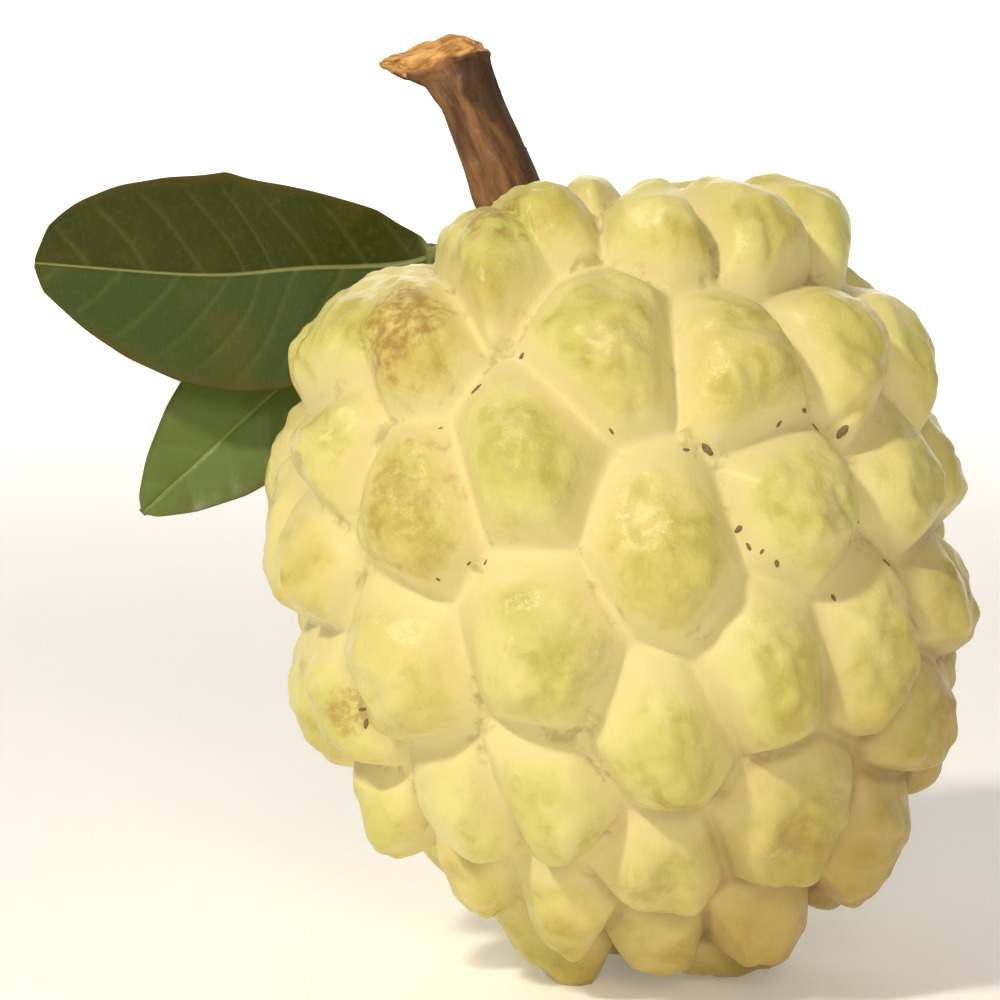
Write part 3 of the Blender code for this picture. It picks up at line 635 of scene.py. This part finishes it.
# ---- materials -----------------------------------------------------------------------------
def ripe_skin(settings):
    """Waxy ripe custard-apple skin: green-yellow knob faces, cream valleys, a soft low gloss, and painted
    shade on the knobs' lower ends, on the underside and right side, and in the valleys.
    """
    material, tree, shader = new_material("waxy_ripe_skin")
    where = add(tree, "ShaderNodeTexCoord", out="Object")
    valley, lower, russet, tone = (add(tree, FIELD, out="Fac", attribute_name=name)
                                   for name in ("valley", "lower", "russet", "tone"))
    broad = add(tree, NOISE, {"Vector": where, "Scale": 1 / (9.0 * MM), "Detail": 2.0, "Roughness": 0.55})
    smudge = add(tree, NOISE, {"Vector": where, "Scale": 1 / (4.5 * MM), "Detail": 4.0, "Roughness": 0.6,
                               "Distortion": 0.4})
    fine = add(tree, NOISE, {"Vector": where, "Scale": 1 / (1.3 * MM), "Detail": 4.0, "Roughness": 0.65})
    grit = add(tree, NOISE, {"Vector": where, "Scale": 1 / (0.5 * MM), "Detail": 2.0, "Roughness": 0.55})

    # a face starts a ragged way in from its valley, and sooner at its lower end
    ragged = add(tree, MATH, {0: smudge, 1: 1.8, 2: valley}, operation="MULTIPLY_ADD")
    ragged = add(tree, MATH, {0: lower, 1: 0.5, 2: ragged}, operation="MULTIPLY_ADD")
    flushed = add(tree, MATH, {0: lower, 1: 0.16, 2: broad}, operation="MULTIPLY_ADD")
    # each knob's lower end, which faces down, for the painted shade there
    low_end = add(tree, MATH, {0: lower, 1: smudge}, operation="ADD")
    right = add(tree, "ShaderNodeSeparateXYZ", {"Vector": where}, "X")
    height = right.node.outputs["Z"]
    # the lower right side, which faces away from the light, for the painted shade there
    down_right = add(tree, MATH, {0: right, 1: height}, operation="SUBTRACT")
    down_right = add(tree, MATH, {0: smudge, 1: 20.0 * MM, 2: down_right}, operation="MULTIPLY_ADD")

    shares = {}
    for name, value, start, end, most in (
            ("face", ragged, 1.05, 2.3, 1.0),
            ("centre", ragged, 1.5, 3.5, 1.0),
            ("green", flushed, 0.36, 0.60, 1.0),
            ("golden", tone, 0.35, 1.0, 0.3),
            ("lower_end_shade", low_end, 0.75, 1.5, 0.42),
            ("mottled", smudge, 0.50, 0.72, 0.48),
            ("pale", fine, 0.60, 0.82, 0.35),
            ("corky", fine, 0.30, 0.62, 0.85),
            ("shaded_side", down_right, -12.0 * MM, 46.0 * MM, 0.72),
            ("valley_shade_patches", smudge, 0.55, 0.68, 0.40),
            ("seam", valley, 0.45, 0.03, 1.0)):
        shares[name] = add(tree, RANGE, {"Value": value, "From Min": start, "From Max": end,
                                         "To Max": most}, interpolation_type="SMOOTHSTEP")
    # painted shade at the valley bottoms, in random patches and all along the shaded underside and right
    # side
    shares["valley_shade"] = add(tree, MATH, {0: shares["valley_shade_patches"], 1: shares["shaded_side"]}, operation="MAXIMUM")
    for name, within in (("green", shares["centre"]), ("golden", shares["face"]),
                         ("mottled", shares["centre"]), ("corky", russet), ("valley_shade", shares["seam"])):
        shares[name] = add(tree, MATH, {0: shares[name], 1: within}, operation="MULTIPLY")

    colour = linear(settings.valley_colour)
    for name, over in (
            ("face", settings.face_colour),
            ("green", settings.green_colour),
            ("golden", "#D9C06C"),          # some knobs are riper than their neighbours, and each is painted in shade, a darker gold, at its lower end, which faces down
            ("lower_end_shade", "#BFA04A"),           # and each is ripest at its lower end
            ("mottled", "#B3A04A"),
            ("pale", "#F0E6A8"),
            ("corky", settings.russet_colour),
            ("shaded_side", "#A8843A"),          # painted shade: the underside and the right side, away from the light, are a darker gold with painted shade in the valleys there and in random patches elsewhere
            ("valley_shade", "#7F5C28")):           # and have brown valleys
        colour = add(tree, MIX, {0: shares[name], 6: colour, 7: linear(over)}, 2, data_type="RGBA")
    tree.links.new(colour, shader.inputs["Base Color"])

    dull = add(tree, MATH, {0: shares["face"], 1: -0.5, 2: fine}, operation="MULTIPLY_ADD")
    dull = add(tree, RANGE, {"Value": dull, "From Min": -0.1, "From Max": 0.7, "To Min": 0.29,
                             "To Max": 0.58}, interpolation_type="SMOOTHSTEP")
    dull = add(tree, MATH, {0: russet, 1: 0.25, 2: dull}, operation="MULTIPLY_ADD")
    tree.links.new(dull, shader.inputs["Roughness"])
    shader.inputs["Subsurface Weight"].default_value = 0.12
    shader.inputs["Subsurface Radius"].default_value = (1.0, 0.62, 0.22)
    shader.inputs["Subsurface Scale"].default_value = 1.6 * MM
    shader.inputs["IOR"].default_value = 1.42
    shader.inputs["Specular IOR Level"].default_value = 0.38
    grain = add(tree, MATH, {0: grit, 1: 0.2}, operation="MULTIPLY")
    grain = add(tree, MATH, {0: fine, 1: shares["face"], 2: grain}, operation="MULTIPLY_ADD")
    bump = add(tree, "ShaderNodeBump", {"Height": grain, "Strength": 0.35, "Distance": 0.5 * MM})
    tree.links.new(bump, shader.inputs["Normal"])
    return material


def dry_speck():
    """Dead dry scale in the valleys: dark brown, dull and crumbly."""
    material, tree, shader = new_material("dry_brown_speck")
    where = add(tree, "ShaderNodeTexCoord", out="Object")
    crumbs = add(tree, NOISE, {"Vector": where, "Scale": 1 / (0.5 * MM), "Detail": 3.0, "Roughness": 0.55})
    colour = add(tree, MIX, {0: crumbs, 6: linear("#5A4526"), 7: linear("#A08A5C")}, 2, data_type="RGBA")
    tree.links.new(colour, shader.inputs["Base Color"])
    shader.inputs["Roughness"].default_value = 0.85
    return material


def bark_and_wood(settings):
    """Thin brown bark with grey streaks over pale torn wood, both dry and rough."""
    material, tree, shader = new_material("twig_bark_and_torn_wood")
    where = add(tree, "ShaderNodeTexCoord", out="Object")
    torn, dark = (add(tree, FIELD, out="Fac", attribute_name=name) for name in ("torn", "dark"))
    turned = add(tree, "ShaderNodeMapping", {
        "Vector": where, "Rotation": (math.radians(LEAN_BACK), math.radians(TWIG_LEAN_LEFT), 0.0)})
    blotch = add(tree, NOISE, {"Vector": where, "Scale": 1 / (2.6 * MM), "Detail": 3.0, "Roughness": 0.6})
    streaks = {}
    for name, across, drawn_out, rough in (
            ("furrow", 1.6, (1.0, 1.0, 0.18), 0.6),
            ("pore", 0.5, (1.0, 1.0, 0.25), 0.7),
            ("splinter", 0.7, (0.2, 1.0, 1.0), 0.65)):
        along = add(tree, "ShaderNodeMapping", {"Vector": turned, "Scale": drawn_out})
        streaks[name] = add(tree, NOISE, {
            "Vector": along, "Scale": 1 / (across * MM), "Detail": 4.0, "Roughness": rough})

    shares = {}
    for name, value, start, end, most in (
            ("ridge", streaks["furrow"], 0.32, 0.68, 1.0),
            ("weathered", blotch, 0.52, 0.72, 1.0),
            ("flaked", streaks["pore"], 0.4, 0.7, 0.6),
            ("pitted", streaks["pore"], 0.42, 0.25, 0.6),
            ("wood", streaks["splinter"], 0.3, 0.62, 1.0),
            ("pale wood", streaks["splinter"], 0.58, 0.78, 1.0)):
        shares[name] = add(tree, RANGE, {"Value": value, "From Min": start, "From Max": end,
                                         "To Max": most}, interpolation_type="SMOOTHSTEP")
    grey = add(tree, MATH, {0: shares["weathered"], 1: shares["flaked"]}, operation="MULTIPLY")
    # painted shade down the twig's right side, with the darker patch below the heel
    shadowed = add(tree, MATH, {0: dark, 1: 0.8}, operation="MULTIPLY")

    bark = linear(settings.bark_dark)
    for share, over in ((shares["ridge"], settings.bark_light), (grey, "#B89A78"),
                        (shares["pitted"], "#3A2412"), (shadowed, "#2C190B")):
        bark = add(tree, MIX, {0: share, 6: bark, 7: linear(over)}, 2, data_type="RGBA")
    wood = linear("#A86E34")
    for share, over in ((shares["wood"], settings.wood_colour), (shares["pale wood"], "#F3DCA6")):
        wood = add(tree, MIX, {0: share, 6: wood, 7: linear(over)}, 2, data_type="RGBA")
    colour = add(tree, MIX, {0: torn, 6: bark, 7: wood}, 2, data_type="RGBA")
    tree.links.new(colour, shader.inputs["Base Color"])
    dull = add(tree, RANGE, {"Value": streaks["pore"], "From Min": 0.2, "From Max": 0.8, "To Min": 0.55,
                             "To Max": 0.9}, interpolation_type="SMOOTHSTEP")
    tree.links.new(dull, shader.inputs["Roughness"])
    relief = add(tree, MATH, {0: blotch, 1: 0.6, 2: streaks["pore"]}, operation="MULTIPLY_ADD")
    bump = add(tree, "ShaderNodeBump", {"Height": relief, "Strength": 0.5, "Distance": 0.3 * MM})
    tree.links.new(bump, shader.inputs["Normal"])
    return material


def leaf_green(name, front_up, front_down, rib_colour, roughness):
    """Leathery leaf: deep green with lighter veins, a browned margin and a soft waxy gloss, and one half of
    the blade in its own colour, which paints shade on the upper leaf.
    """
    material, tree, shader = new_material(name)
    where = add(tree, "ShaderNodeTexCoord", out="Object")
    half, margin, face, vein, rib, stem = (
        add(tree, FIELD, out="Fac", attribute_name=field)
        for field in ("half", "margin", "face", "vein", "rib", "stem"))
    blotch = add(tree, NOISE, {"Vector": where, "Scale": 1 / (7.0 * MM), "Detail": 3.0, "Roughness": 0.6})
    cells = add(tree, NOISE, {"Vector": where, "Scale": 1 / (0.7 * MM), "Detail": 3.0, "Roughness": 0.7})

    shares = {"vein": add(tree, MATH, {0: vein, 1: 0.2}, operation="MULTIPLY")}
    for part, value, start, end, most in (
            ("shaded upper half", half, -0.05, 0.05, 1.0),
            ("tanned", blotch, 0.45, 0.75, 0.45),
            ("cells", cells, 0.5, 0.75, 0.2),
            ("margin", margin, 0.62, 1.0, 0.55),
            ("underside", face, 0.6, 0.4, 0.55),
            ("rib", rib, 0.45, 0.9, 1.0)):
        shares[part] = add(tree, RANGE, {"Value": value, "From Min": start, "From Max": end,
                                         "To Max": most}, interpolation_type="SMOOTHSTEP")
    shares["rib"] = add(tree, MATH, {0: shares["rib"], 1: stem}, operation="MAXIMUM")
    shares["rib"] = add(tree, MATH, {0: shares["rib"], 1: 0.6}, operation="MULTIPLY")

    # painted shade: the blade's upper half takes front_up, on the upper leaf a darker green where it tilts
    # away from the light
    colour = linear(front_down)
    for part, over in (("shaded upper half", front_up), ("tanned", "#5A5218"), ("cells", "#6F7B34"),
                       ("margin", "#5E4A1C"), ("underside", "#7D9150"), ("vein", "#7F9150"),
                       ("rib", rib_colour)):
        colour = add(tree, MIX, {0: shares[part], 6: colour, 7: linear(over)}, 2, data_type="RGBA")
    tree.links.new(colour, shader.inputs["Base Color"])
    dull = add(tree, RANGE, {"Value": cells, "From Min": 0.2, "From Max": 0.8, "To Min": roughness - 0.06,
                             "To Max": roughness + 0.12}, interpolation_type="SMOOTHSTEP")
    tree.links.new(dull, shader.inputs["Roughness"])
    shader.inputs["IOR"].default_value = 1.42
    shader.inputs["Specular IOR Level"].default_value = 0.26
    relief = add(tree, MATH, {0: blotch, 1: 0.5, 2: cells}, operation="MULTIPLY_ADD")
    bump = add(tree, "ShaderNodeBump", {"Height": relief, "Strength": 0.22, "Distance": 0.2 * MM})
    tree.links.new(bump, shader.inputs["Normal"])
    return material


def plain(name, hex_colour, roughness, glow):
    """A plain matt ground for the stage, lifted by a faint glow so that it stays pale."""
    material, _, shader = new_material(name)
    shader.inputs["Base Color"].default_value = linear(hex_colour)
    shader.inputs["Roughness"].default_value = roughness
    shader.inputs["Emission Color"].default_value = linear(hex_colour)
    shader.inputs["Emission Strength"].default_value = glow
    return material


# ---- what is scattered ---------------------------------------------------------------------
def scatter_tree(name, on_points):
    """A node tree that sets squashed grains on points, or strews them over a surface."""
    tree = bpy.data.node_groups.new(name, "GeometryNodeTree")
    face = tree.interface
    face.new_socket("Geometry", in_out="INPUT", socket_type="NodeSocketGeometry")
    for label, default in (("Density", 0.0), ("Grain", 0.5 * MM), ("Flatness", 0.4), ("Length", 1.6)):
        face.new_socket(label, in_out="INPUT", socket_type="NodeSocketFloat").default_value = default
    face.new_socket("Seed", in_out="INPUT", socket_type="NodeSocketInt").default_value = 1
    face.new_socket("Material", in_out="INPUT", socket_type="NodeSocketMaterial")
    face.new_socket("Geometry", in_out="OUTPUT", socket_type="NodeSocketGeometry")
    given = tree.nodes.new("NodeGroupInput").outputs
    ball = add(tree, "GeometryNodeMeshIcoSphere", {"Radius": 1.0, "Subdivisions": 2})
    dent = add(tree, NOISE, {"Scale": 1.3, "Detail": 1.0}, "Color")
    offset = add(tree, "ShaderNodeVectorMath", {0: dent, 1: (0.5, 0.5, 0.5)}, operation="SUBTRACT")
    grain_shape = add(tree, "GeometryNodeSetPosition", {"Geometry": ball, "Offset": offset})
    if on_points:
        points = given["Geometry"]
        facing = add(tree, "GeometryNodeInputNamedAttribute", {"Name": "facing"}, data_type="FLOAT_VECTOR")
        grain = add(tree, "GeometryNodeInputNamedAttribute", {"Name": "size"}, data_type="FLOAT")
    else:
        share = add(tree, "GeometryNodeInputNamedAttribute", {"Name": "strewn"}, data_type="FLOAT")
        often = add(tree, MATH, {0: given["Density"], 1: share}, operation="MULTIPLY")
        points = add(tree, "GeometryNodeDistributePointsOnFaces", {
            "Mesh": given["Geometry"], "Density": often, "Seed": given["Seed"]}, distribute_method="RANDOM")
        facing = points.node.outputs["Normal"]
        sizes = add(tree, "FunctionNodeRandomValue", {2: 0.4, 3: 1.2, "Seed": given["Seed"]}, 1,
                    data_type="FLOAT")
        grain = add(tree, MATH, {0: sizes, 1: given["Grain"]}, operation="MULTIPLY")
    upright = add(tree, "FunctionNodeAlignRotationToVector", {"Vector": facing}, axis="Z")
    spin = add(tree, "FunctionNodeRandomValue", {3: math.tau, "Seed": given["Seed"]}, 1, data_type="FLOAT")
    about = add(tree, "ShaderNodeCombineXYZ", {"Z": spin})
    turned = add(tree, "FunctionNodeRotateRotation", {"Rotation": upright, "Rotate By": about},
                 rotation_space="LOCAL")
    shape = add(tree, "ShaderNodeCombineXYZ", {"X": given["Length"], "Y": 1.0, "Z": given["Flatness"]})
    scale = add(tree, "ShaderNodeVectorMath", {0: shape, "Scale": grain}, operation="SCALE")
    put = add(tree, "GeometryNodeInstanceOnPoints", {
        "Points": points, "Instance": grain_shape, "Rotation": turned, "Scale": scale})
    real = add(tree, "GeometryNodeRealizeInstances", {"Geometry": put})
    finish = add(tree, "GeometryNodeSetMaterial", {"Geometry": real, "Material": given["Material"]})
    tree.links.new(finish, tree.nodes.new("NodeGroupOutput").inputs["Geometry"])
    return tree


def run_tree(name, base, tree, **values):
    """Run a node tree over a mesh and keep the result as a plain mesh object."""
    holder = bpy.data.objects.new(name + "_source", base)
    bpy.context.scene.collection.objects.link(holder)
    modifier = holder.modifiers.new("strew", "NODES")
    modifier.node_group = tree
    for item in tree.interface.items_tree:
        label = item.name.lower()
        if item.in_out == "INPUT" and label in values:
            modifier[item.identifier] = values[label]
    depsgraph = bpy.context.evaluated_depsgraph_get()
    mesh = bpy.data.meshes.new_from_object(holder.evaluated_get(depsgraph))
    bpy.data.objects.remove(holder)
    if not len(mesh.polygons):
        raise RuntimeError(name + ": the node tree made nothing")
    mesh.name = name
    mesh.shade_smooth()
    obj = bpy.data.objects.new(name, mesh)
    bpy.context.scene.collection.objects.link(obj)
    return obj


# ---- settings ------------------------------------------------------------------------------
class CustardSkinSettings(bpy.types.PropertyGroup):
    valley_depth: bpy.props.FloatProperty(
        name="Valley Depth", description="How deep the valleys run between the knobs",
        default=3.7 * MM, min=0.0, unit="LENGTH")
    shoulder: bpy.props.FloatProperty(
        name="Shoulder", description="How far in from a valley a knob levels out",
        default=4.1 * MM, min=1.0 * MM, unit="LENGTH")
    lumps: bpy.props.FloatProperty(
        name="Lumps", description="Height of the soft lumps on the knobs' faces",
        default=0.52 * MM, min=0.0, unit="LENGTH")
    face_colour: bpy.props.StringProperty(
        name="Face Colour", description="Knob faces, as an sRGB hex value", default="#E5DB90")
    green_colour: bpy.props.StringProperty(
        name="Green Colour", description="Green flush on the knobs, as sRGB hex", default="#D1CB70")
    valley_colour: bpy.props.StringProperty(
        name="Valley Colour", description="Valleys between the knobs, as sRGB hex", default="#E6D99C")
    russet_colour: bpy.props.StringProperty(
        name="Russet Colour", description="Corky patches, as sRGB hex", default="#A9843F")


class CustardTwigSettings(bpy.types.PropertyGroup):
    bark_light: bpy.props.StringProperty(
        name="Light Bark", description="Lit ridges of the bark, as sRGB hex", default="#94683C")
    bark_dark: bpy.props.StringProperty(
        name="Dark Bark", description="Furrows of the bark, as sRGB hex", default="#57371C")
    wood_colour: bpy.props.StringProperty(
        name="Torn Wood", description="Pale wood of the torn heel, as sRGB hex", default="#E6B26A")
    lenticels: bpy.props.FloatProperty(
        name="Lenticel Size", description="Half width of the breathing pores on the bark",
        default=0.16 * MM, min=0.0, unit="LENGTH")


class CustardLeafSettings(bpy.types.PropertyGroup):
    thickness: bpy.props.FloatProperty(
        name="Thickness", description="Thickness of a blade between its veins",
        default=0.35 * MM, min=0.1 * MM, unit="LENGTH")
    dark_green: bpy.props.StringProperty(
        name="Dark Green", description="Shaded half of the upper leaf, as sRGB hex", default="#384009")
    mid_green: bpy.props.StringProperty(
        name="Mid Green", description="Lit half of the upper leaf, as sRGB hex", default="#3B4B12")
    light_green: bpy.props.StringProperty(
        name="Light Green", description="Lower leaf, as an sRGB hex value", default="#65783A")


class CustardStageSettings(bpy.types.PropertyGroup):
    floor_width: bpy.props.FloatProperty(
        name="Floor Width", description="Width of the floor and backdrop", default=4.0, unit="LENGTH")
    distance: bpy.props.FloatProperty(
        name="Camera Distance", description="From the camera to the fruit", default=0.45, unit="LENGTH")
    elevation: bpy.props.FloatProperty(
        name="Camera Height Angle", description="How far the camera looks down",
        default=math.radians(8.0), subtype="ANGLE")


# ---- operators -----------------------------------------------------------------------------
class CUSTARD_OT_fruit(bpy.types.Operator):
    """Build the knobbly skin of the fruit"""
    bl_idname = "custard.fruit"
    bl_label = "Fruit"

    def execute(self, context):
        mesh, points, numbers = skin_points(context.scene.custard_skin)
        SEAT["shift"] = seat_of(points)
        points = to_frame(points)
        points[:, 2] = np.maximum(points[:, 2], 0.0)
        mesh.vertices.foreach_set("co", points.reshape(-1))
        keep_numbers(mesh, **numbers)
        mesh.update()
        fruit = place_piece("fruit_skin", mesh, ripe_skin(context.scene.custard_skin))
        settle(fruit, "fruit_skin", "fruit")
        return {"FINISHED"}


class CUSTARD_OT_specks(bpy.types.Operator):
    """Set the dry brown specks in the valleys"""
    bl_idname = "custard.specks"
    bl_label = "Valley Specks"

    def execute(self, context):
        skin_mesh = bpy.data.objects["fruit_skin"].data
        points = np.zeros(len(skin_mesh.vertices) * 3)
        skin_mesh.vertices.foreach_get("co", points)
        points = points.reshape(-1, 3)
        normals = np.zeros(len(points) * 3)
        skin_mesh.vertices.foreach_get("normal", normals)
        normals = normals.reshape(-1, 3)
        valley = np.zeros(len(points))
        skin_mesh.attributes["valley"].data.foreach_get("value", valley)
        places = np.array(SPECKS, float)
        tops = directions(places[:, 0], places[:, 1])
        lean = np.array(lean_matrix(LEAN_LEFT, LEAN_BACK))
        aims = to_frame((tops * envelope(tops)[:, None] - 3.0 * tops) @ lean.T)
        chosen = []
        for aim in aims:
            gap = np.linalg.norm(points - aim, axis=1) + valley * 1.5 * MM
            chosen.append(int(gap.argmin()))
        spots = bpy.data.meshes.new("speck_places")
        spots.from_pydata([tuple(points[i]) for i in chosen], [], [])
        facing = spots.attributes.new("facing", "FLOAT_VECTOR", "POINT")
        facing.data.foreach_set("vector", normals[chosen].reshape(-1))
        keep_numbers(spots, size=places[:, 2] * SPECK_SCALE * MM)
        specks = run_tree("valley_specks", spots, scatter_tree("Set Specks", True),
                          flatness=0.35, length=1.8, seed=5, material=dry_speck())
        settle(specks, "fruit_skin")
        return {"FINISHED"}


class CUSTARD_OT_twig(bpy.types.Operator):
    """Build the twig with its torn heel, and the pores on its bark"""
    bl_idname = "custard.twig"
    bl_label = "Twig"

    def execute(self, context):
        settings = context.scene.custard_twig
        bark = bark_and_wood(settings)
        mesh = build_twig_mesh()
        twig = place_piece("twig", mesh, bark)
        settle(twig, "twig_bark", "stalk")
        base = mesh.copy()
        torn = np.zeros(len(base.vertices))
        base.attributes["torn"].data.foreach_get("value", torn)
        keep_numbers(base, strewn=1.0 - smooth_step(torn, 0.0, 0.2))
        pores = run_tree("bark_pores", base, scatter_tree("Strew Pores", False),
                         density=PORES_PER_SQUARE_METRE, grain=settings.lenticels, flatness=0.4,
                         length=1.5, seed=3, material=bark)
        settle(pores, "twig_bark")
        return {"FINISHED"}


class CUSTARD_OT_leaves(bpy.types.Operator):
    """Build the two leaves on their stalks"""
    bl_idname = "custard.leaves"
    bl_label = "Leaves"

    def execute(self, context):
        settings = context.scene.custard_leaf
        thick = settings.thickness / MM
        upper = leaf_mesh("leaf_upper", (tuple(beside_twig(8.5, UPPER_RIB[0])), *UPPER_RIB), 0.22,
                          UPPER_WIDTHS, (0.0, 0.10, 1.0), 0.16, thick, 31)
        blade = place_piece("leaf_upper_blade", upper, leaf_green(
            "leathery_dark_leaf", settings.dark_green, settings.mid_green, "#A3A86A", 0.42))
        settle(blade, "leaf_dark_green", "leaf_upper")
        lower = leaf_mesh("leaf_lower", (tuple(beside_twig(6.5, LOWER_RIB[0])), *LOWER_RIB), 0.26,
                          LOWER_WIDTHS, (-0.7, 0.1, 0.7), 0.12, thick, 41)
        blade = place_piece("leaf_lower_blade", lower, leaf_green(
            "leathery_light_leaf", settings.light_green, settings.light_green, "#8D9A5C", 0.34))
        settle(blade, "leaf_light_green", "leaf_lower")
        return {"FINISHED"}


def add_area(name, place, aim, size, power, colour):
    """A soft square light that points at a place; sizes and places in metres."""
    lamp = bpy.data.lights.new(name, "AREA")
    lamp.size = size
    lamp.energy = power
    lamp.color = linear(colour)[:3]
    obj = bpy.data.objects.new(name, lamp)
    obj.location = place
    obj.rotation_mode = "QUATERNION"
    obj.rotation_quaternion = (Vector(aim) - Vector(place)).to_track_quat("-Z", "Y")
    bpy.context.scene.collection.objects.link(obj)


class CUSTARD_OT_stage(bpy.types.Operator):
    """Lay the pale floor and backdrop, and set the lights and the camera"""
    bl_idname = "custard.stage"
    bl_label = "Stage"

    def execute(self, context):
        settings = context.scene.custard_stage
        scene = context.scene
        half = settings.floor_width / 2
        profile = [(FLOOR_FRONT, 0.0), (FLOOR_BACK, 0.0)]
        for step in range(1, 17):
            turn = math.pi / 2 * step / 16
            profile.append((FLOOR_BACK + FLOOR_BEND * math.sin(turn),
                            FLOOR_BEND * (1.0 - math.cos(turn))))
        profile.append((FLOOR_BACK + FLOOR_BEND, WALL_TOP))
        points = [(x, y, z) for y, z in profile for x in (-half, half)]
        faces = [(2 * i, 2 * i + 1, 2 * i + 3, 2 * i + 2) for i in range(len(profile) - 1)]
        sheet = bpy.data.meshes.new("floor")
        sheet.from_pydata(points, [], faces)
        floor = place_piece("floor", sheet, plain("pale_paper_floor", "#FFFEFC", 0.9, 0.16))

        centre = Vector(tuple(to_frame(np.zeros(3))))
        for name, (place, target, *kind) in LIGHTS.items():
            add_area(name, centre + Vector(place), centre + Vector(target), *kind)
        world = bpy.data.worlds.new("studio")
        world.use_nodes = True
        scene.world = world
        back = world.node_tree.nodes["Background"]
        back.inputs["Color"].default_value = linear("#FFF6E6")
        back.inputs["Strength"].default_value = 0.20

        tilt = settings.elevation
        forward = Vector((0.0, math.cos(tilt), -math.sin(tilt)))
        up = Vector((0.0, math.sin(tilt), math.cos(tilt)))
        aim = centre + Vector((AIM_ASIDE * MM, 0.0, 0.0)) + up * AIM_UP * MM
        lens = bpy.data.cameras.new("camera")
        lens.sensor_width = SENSOR_WIDTH
        lens.lens = SENSOR_WIDTH * settings.distance / (VIEW_WIDTH * MM)
        lens.clip_start = 0.01
        camera = bpy.data.objects.new("camera", lens)
        camera.location = aim - forward * settings.distance
        camera.rotation_mode = "QUATERNION"
        camera.rotation_quaternion = forward.to_track_quat("-Z", "Y")
        scene.collection.objects.link(camera)
        scene.camera = camera
        scene.view_settings.view_transform = "Standard"
        return {"FINISHED"}


class CUSTARD_PT_panel(bpy.types.Panel):
    """Lists the pieces of the custard apple"""
    bl_idname = "CUSTARD_PT_panel"
    bl_label = "Custard Apple"
    bl_space_type = "VIEW_3D"
    bl_region_type = "UI"
    bl_category = "Custard Apple"

    def draw(self, context):
        layout = self.layout
        for name, operators in OPERATORS.items():
            box = layout.box()
            group = getattr(context.scene, name)
            for key in group.__annotations__:
                box.prop(group, key)
            for operator in operators:
                box.operator(operator.bl_idname, text=operator.bl_label)


GROUPS = {
    "custard_skin": CustardSkinSettings,
    "custard_twig": CustardTwigSettings,
    "custard_leaf": CustardLeafSettings,
    "custard_stage": CustardStageSettings,
}
OPERATORS = {
    "custard_skin": (CUSTARD_OT_fruit, CUSTARD_OT_specks),
    "custard_twig": (CUSTARD_OT_twig,),
    "custard_leaf": (CUSTARD_OT_leaves,),
    "custard_stage": (CUSTARD_OT_stage,),
}
CLASSES = (*GROUPS.values(), *(op for ops in OPERATORS.values() for op in ops), CUSTARD_PT_panel)


def register():
    for cls in CLASSES:
        bpy.utils.register_class(cls)
    for name, group in GROUPS.items():
        setattr(bpy.types.Scene, name, bpy.props.PointerProperty(type=group))


def unregister():
    for name in GROUPS:
        delattr(bpy.types.Scene, name)
    for cls in reversed(CLASSES):
        bpy.utils.unregister_class(cls)


def main():
    register()
    bpy.ops.custard.fruit()
    bpy.ops.custard.specks()
    bpy.ops.custard.twig()
    bpy.ops.custard.leaves()
    bpy.ops.custard.stage()


if __name__ == "__main__":
    main()
